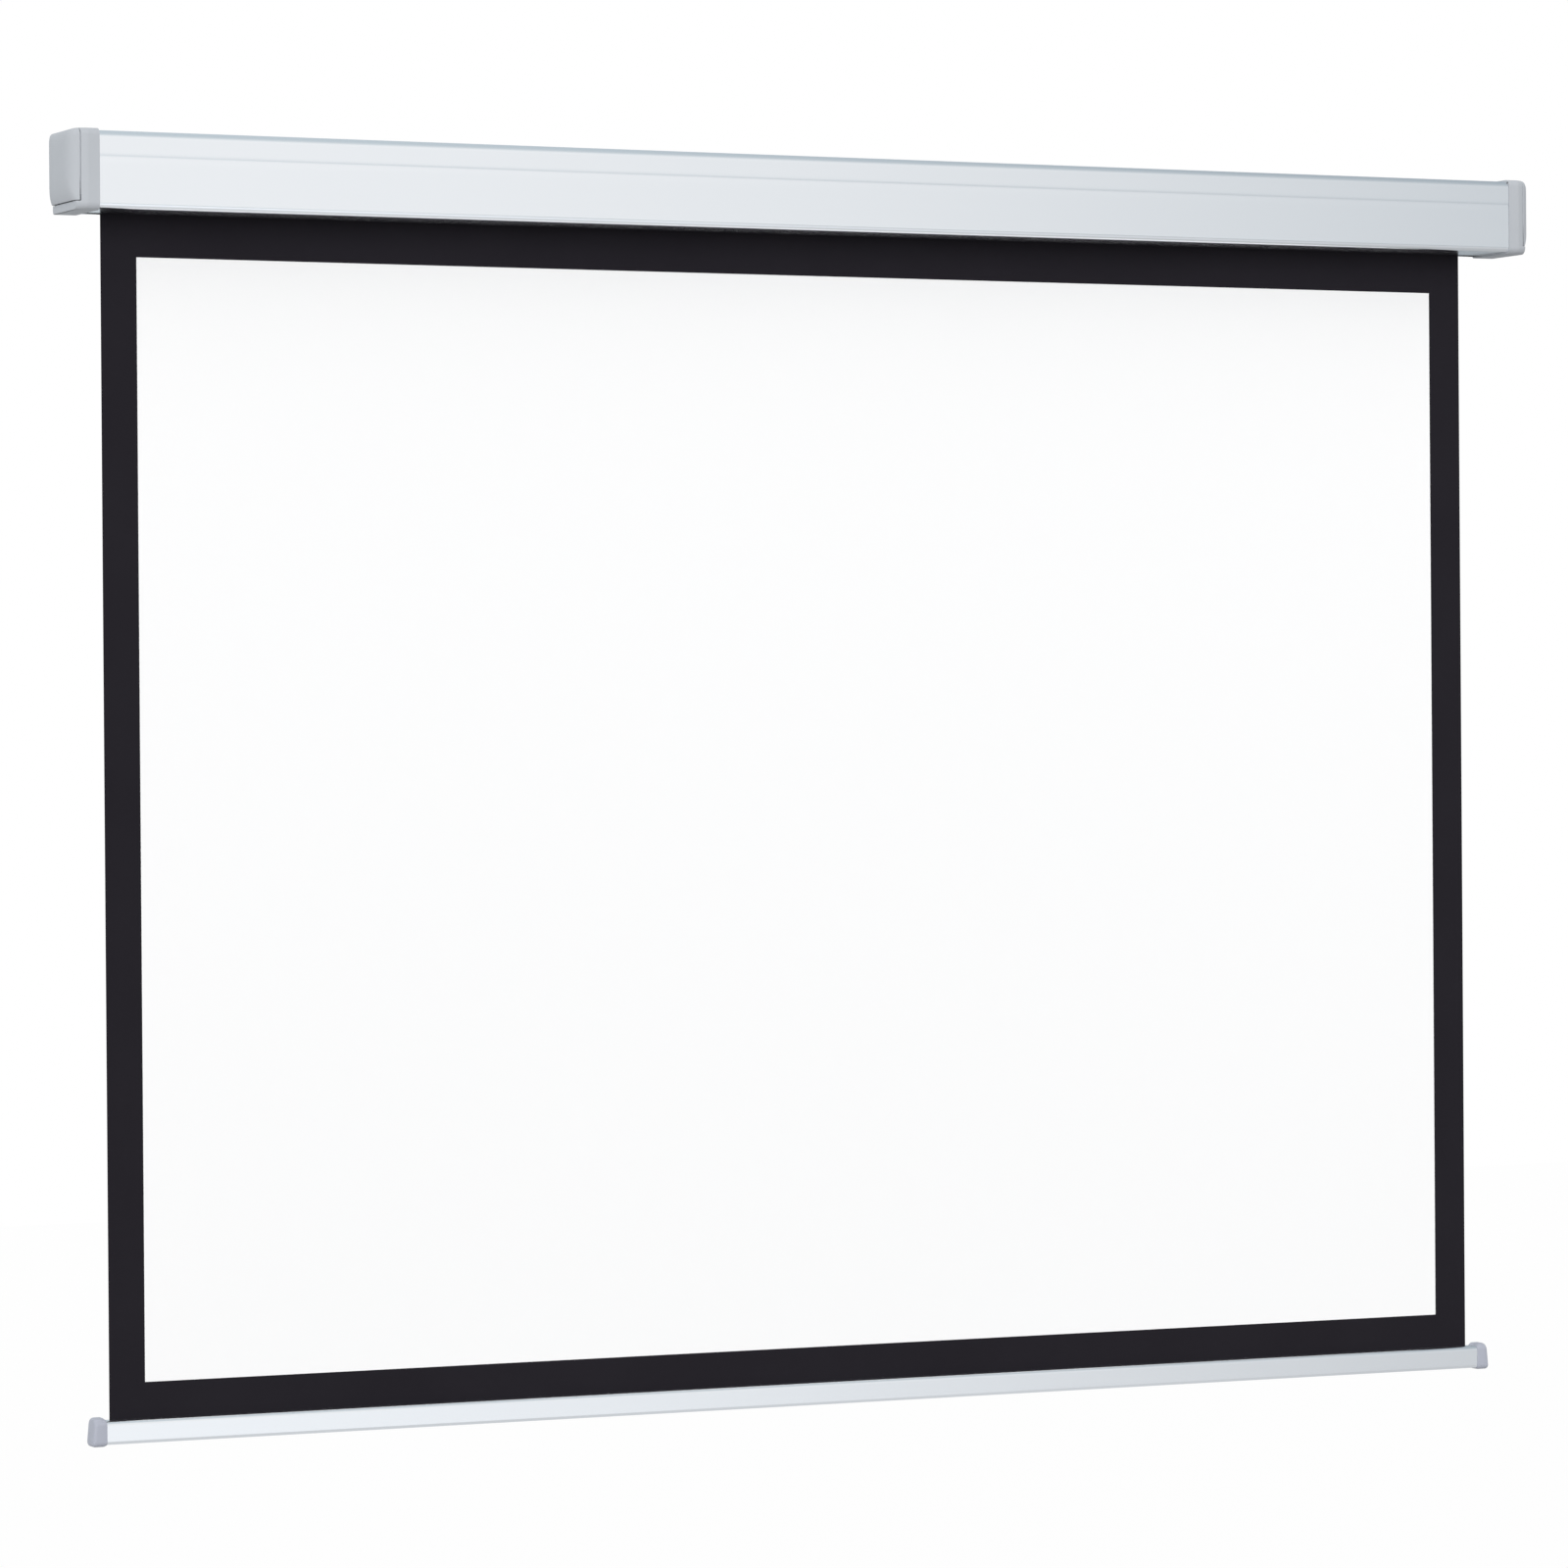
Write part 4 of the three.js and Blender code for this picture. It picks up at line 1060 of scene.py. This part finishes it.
def weight_bar():
    bm = bmesh.new()
    neck = math.asin(SLOT_HALF / CHANNEL_RADIUS)
    channel = []
    for step in range(CHANNEL_STEPS + 1):
        turn = neck + step / CHANNEL_STEPS * (2 * math.pi - 2 * neck)
        y = -CHANNEL_RADIUS * math.sin(turn)
        z = CHANNEL_RADIUS * math.cos(turn) - HEM_DEPTH
        channel.append((y, z))
    outside = bar_outline(BAR_FRONT, BAR_BACK, 0, -BAR_HEIGHT, *BAR_CORNERS)
    slot_edges = [(SLOT_HALF, 0), (-SLOT_HALF, 0)]
    line = [slot_edges[0], *outside, slot_edges[1], *channel]
    draw_out(bm, wire(bm, on_bar(line), -BAR_HALF, closed=True), 2 * BAR_HALF)
    for y, z in on_bar(slot_edges):
        rounded(bm, long_edges_at(bm, y, z), SLOT_EDGE, SLOT_EDGE_STEPS)
    below = (0, CLOTH_Y + (BAR_FRONT + BAR_BACK) / 2, BAR_TOP - BAR_HEIGHT)
    add_wall(bm, BAR_WALL, -UPWARD, below)
    return bm


bm = weight_bar()
shade(bm)
finished("bar_extrusion", bm, "weight_bar", "anodised_aluminium", "bar_profile")

# %% [markdown]
# The bar's end caps stand a little proud of it, most at the top. Each is a solid made of rings: the
# first has the bar's own corners and lies just inside its metal, the second is the full outline,
# and the last ones round the outer end, which leans in a little towards the top.

# %% End caps of the bar
BAR_CAP_LENGTH = 17
BAR_CAP_PROUD_TOP = 3.5
BAR_CAP_PROUD_BOTTOM = 2
BAR_CAP_PROUD_SIDE = 1
BAR_CAP_CHAMFER = 3
BAR_CAP_ROUND = 4
BAR_CAP_CORNERS = (8.5, 6, 7)
BAR_CAP_LEAN = 2.5
BAR_CAP_STEPS = 7
BAR_CAP_START = (0.6, 3.1, 1.6)


def bar_cap():
    """The right cap, from rings with insets at the sides, the top and the bottom."""
    bm = bmesh.new()
    rings = [
        (BAR_HALF, *BAR_CAP_START, BAR_CORNERS, 0),
        (BAR_HALF + BAR_CAP_CHAMFER, 0, 0, 0, BAR_CAP_CORNERS, 0),
    ]
    for step in range(BAR_CAP_STEPS + 1):
        turn = step / BAR_CAP_STEPS * math.pi / 2
        inset = BAR_CAP_ROUND * (1 - math.cos(turn))
        x = BAR_HALF + BAR_CAP_LENGTH - BAR_CAP_ROUND * (1 - math.sin(turn))
        corners = [radius - inset for radius in BAR_CAP_CORNERS]
        rings.append((x, inset, inset, inset, corners, BAR_CAP_LEAN))
    loops = []
    for x, side, top, bottom, corners, lean in rings:
        outline = bar_outline(
            BAR_FRONT - BAR_CAP_PROUD_SIDE + side,
            BAR_BACK + BAR_CAP_PROUD_SIDE - side,
            BAR_CAP_PROUD_TOP - top,
            -BAR_HEIGHT - BAR_CAP_PROUD_BOTTOM + bottom,
            *corners,
        )
        loop = wire(bm, on_bar(outline), x, closed=True)
        for vert in {vert for edge in loop for vert in edge.verts}:
            height = (vert.co.z / MM - BAR_TOP + BAR_HEIGHT) / BAR_HEIGHT
            vert.co.x -= lean * height * MM
        loops.append(loop)
    for loop, next_loop in zip(loops, loops[1:]):
        bmesh.ops.bridge_loops(bm, edges=loop + next_loop)
    for loop in (loops[0], loops[-1]):
        bmesh.ops.contextual_create(bm, geom=loop)
    bmesh.ops.recalc_face_normals(bm, faces=bm.faces)
    return bm


for side in ("right", "left"):
    bm = bar_cap()
    if side == "left":
        mirrored(bm)
    shade(bm)
    name = "bar_" + side + "_cap"
    # The bar's caps take the darker plastic, whose colour holds painted shade.
    finished(name + "_moulding", bm, "weight_bar", "grey_plastic", name, materials=[bar_plastic_painted_shade])

# %% [markdown]
# The cloth hangs from the back of the roller. It is one sheet with a black border printed round the
# white picture area, and its back is black. It is a fine grid with a faint ripple. The cuts at the
# edges of the picture come from bisect_plane, so the white stops in a sharp line. When the bar goes
# up, the roller takes the cloth in.

# %% Hanging cloth
CLOTH_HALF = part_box("screen_cloth")[1].x / MM
CLOTH_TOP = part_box("screen_cloth")[1].z / MM
CLOTH_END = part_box("screen_cloth")[0].z / MM
PICTURE_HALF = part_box("picture_surface")[1].x / MM
PICTURE_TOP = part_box("picture_surface")[1].z / MM
CLOTH_THICK = 0.4
RIPPLE = 0.25
RIPPLE_WAVES = 9
RIPPLE_DRIFT = 2.3
DRIFT_WAVES = 2
RIPPLE_CALM = 0.5
CELL = 30
FRONT_SLOPE = 0.5


def lay_uv(bm):
    """A UV map in metres, across and up."""
    layer = bm.loops.layers.uv.new("cloth")
    for face in bm.faces:
        for loop in face.loops:
            loop[layer].uv = (loop.vert.co.x, loop.vert.co.z)


def hanging_cloth():
    bm = bmesh.new()
    width, height = 2 * CLOTH_HALF * MM, (CLOTH_TOP - CLOTH_END) * MM
    upright = Matrix(
        (
            (width, 0, 0, 0),
            (0, 0, -1, (CLOTH_Y - CLOTH_THICK / 2) * MM),
            (0, height, 0, (CLOTH_TOP + CLOTH_END) / 2 * MM),
            (0, 0, 0, 1),
        )
    )
    columns = round(2 * CLOTH_HALF / CELL)
    rows = round((CLOTH_TOP - CLOTH_END) / CELL)
    bmesh.ops.create_grid(bm, x_segments=columns, y_segments=rows, size=0.5, matrix=upright)
    cross(bm, OUTWARD, -PICTURE_HALF)
    cross(bm, OUTWARD, PICTURE_HALF)
    cross(bm, UPWARD, PICTURE_TOP)
    add_wall(bm, CLOTH_THICK, FRONTWARD, (0, CLOTH_Y, (CLOTH_TOP + CLOTH_END) / 2))
    for face in bm.faces:
        middle = face.calc_center_median() / MM
        printed = abs(middle.x) < PICTURE_HALF and middle.z < PICTURE_TOP
        in_front = face.normal.dot(FRONTWARD) > FRONT_SLOPE
        face.material_index = 1 if printed and in_front else 0
    for vert in bm.verts:
        down = (CLOTH_TOP * MM - vert.co.z) / height
        height_of_wave = math.sin(math.pi * min(max(down, 0), 1)) ** RIPPLE_CALM * RIPPLE * MM
        drift = RIPPLE_DRIFT * math.sin(DRIFT_WAVES * vert.co.z)
        vert.co.y += height_of_wave * math.sin(RIPPLE_WAVES * vert.co.x + drift)
    lay_uv(bm)
    return bm


bm = hanging_cloth()
shade(bm)
cloth = finished(
    "hanging_cloth",
    bm,
    "case",
    "black_cloth",
    "screen_cloth",
    "picture_surface",
    materials=[finish_of["black_cloth"], finish_of["white_coating"]],
)
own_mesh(cloth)

# %% [markdown]
# Below the picture the black border goes on into the bar. There it is looped round a rod and
# welded, so that the bar hangs on it. This strip is stiff enough to move with the bar. Its line is
# drawn down to the rod, and spin takes its lower end round the rod.

# %% Lower border and hem
BORDER_TOP = 41
BORDER_MIDDLE = 20
HEM_RADIUS = 2.7
LOOP_STEPS = 28
LOOP_TURN = math.radians(348)


def lower_border():
    bm = bmesh.new()
    weld = (0, HEM_RADIUS - HEM_DEPTH)
    line = on_bar([(0, BORDER_TOP), (0, BORDER_MIDDLE), weld])
    strip = wire(bm, line, -CLOTH_HALF)
    end = min((vert for edge in strip for vert in edge.verts), key=lambda vert: vert.co.z)
    rod_place = on_bar([(0, -HEM_DEPTH)])[0]
    bmesh.ops.spin(
        bm,
        geom=[end],
        cent=(0, rod_place[0] * MM, rod_place[1] * MM),
        axis=(1, 0, 0),
        angle=LOOP_TURN,
        steps=LOOP_STEPS,
    )
    draw_out(bm, bm.edges[:], 2 * CLOTH_HALF)
    add_wall(bm, CLOTH_THICK, FRONTWARD, (0, CLOTH_Y, BAR_TOP + BORDER_TOP))
    bmesh.ops.translate(bm, verts=bm.verts, vec=(0, -CLOTH_THICK / 2 * MM, 0))
    lay_uv(bm)
    return bm


bm = lower_border()
shade(bm)
border = finished("lower_border", bm, "weight_bar", "black_cloth", "cloth_lower_border")

# %% [markdown]
# Two turns of cloth stay on the roller when the screen is down, so that the pull never reaches the
# groove that holds its edge. They make a spiral whose radius falls by a little with each turn.

# %% Safety turns on the roller
WIND_RADIUS = 27.6
TURN_SPACING = 0.95
SAFETY_TURNS = 2
TURN_STEPS = 72


def wound_turns():
    bm = bmesh.new()
    spiral = []
    for step in range(SAFETY_TURNS * TURN_STEPS + 1):
        turn = step / TURN_STEPS
        radius = WIND_RADIUS - TURN_SPACING * turn
        angle = 2 * math.pi * turn
        spiral.append((AXIS_Y + radius * math.cos(angle), AXIS_Z + radius * math.sin(angle)))
    draw_out(bm, wire(bm, spiral, -CLOTH_HALF), 2 * CLOTH_HALF)
    add_wall(bm, CLOTH_THICK, UPWARD, (0, AXIS_Y, AXIS_Z + WIND_RADIUS))
    lay_uv(bm)
    return bm


bm = wound_turns()
shade(bm)
turns = finished("wound_turns", bm, "roller", "black_cloth", "wound_cloth")

# %% [markdown]
# The mainspring is a long coil of round wire. A small circle, spun round the shaft while it moves
# along it, makes the coil in one operation.

# %% Mainspring
spring_low, spring_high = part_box("mainspring")
SPRING_RADIUS = 10
SPRING_WIRE = 1.1
SPRING_WIRE_SIDES = 10
SPRING_TURNS = 20
SPRING_TURN_STEPS = 28
SPRING_SMOOTH = 50


def mainspring():
    bm = bmesh.new()
    radius = SPRING_WIRE * MM
    start = Vector((spring_low.x + radius, (AXIS_Y + SPRING_RADIUS) * MM, AXIS_Z * MM))
    length = spring_high.x - spring_low.x - 2 * radius
    steps = SPRING_TURNS * SPRING_TURN_STEPS
    bmesh.ops.create_circle(
        bm,
        cap_ends=True,
        segments=SPRING_WIRE_SIDES,
        radius=radius,
        matrix=Matrix.Translation(start),
    )
    bmesh.ops.spin(
        bm,
        geom=bm.edges[:] + bm.faces[:],
        cent=(start.x, AXIS_Y * MM, AXIS_Z * MM),
        axis=(1, 0, 0),
        dvec=(length / steps, 0, 0),
        angle=2 * math.pi * SPRING_TURNS,
        steps=steps,
        use_duplicate=False,
    )
    bmesh.ops.recalc_face_normals(bm, faces=bm.faces)
    return bm


bm = mainspring()
shade(bm, SPRING_SMOOTH)
finished("torsion_coil", bm, "case", "spring_steel", "mainspring")
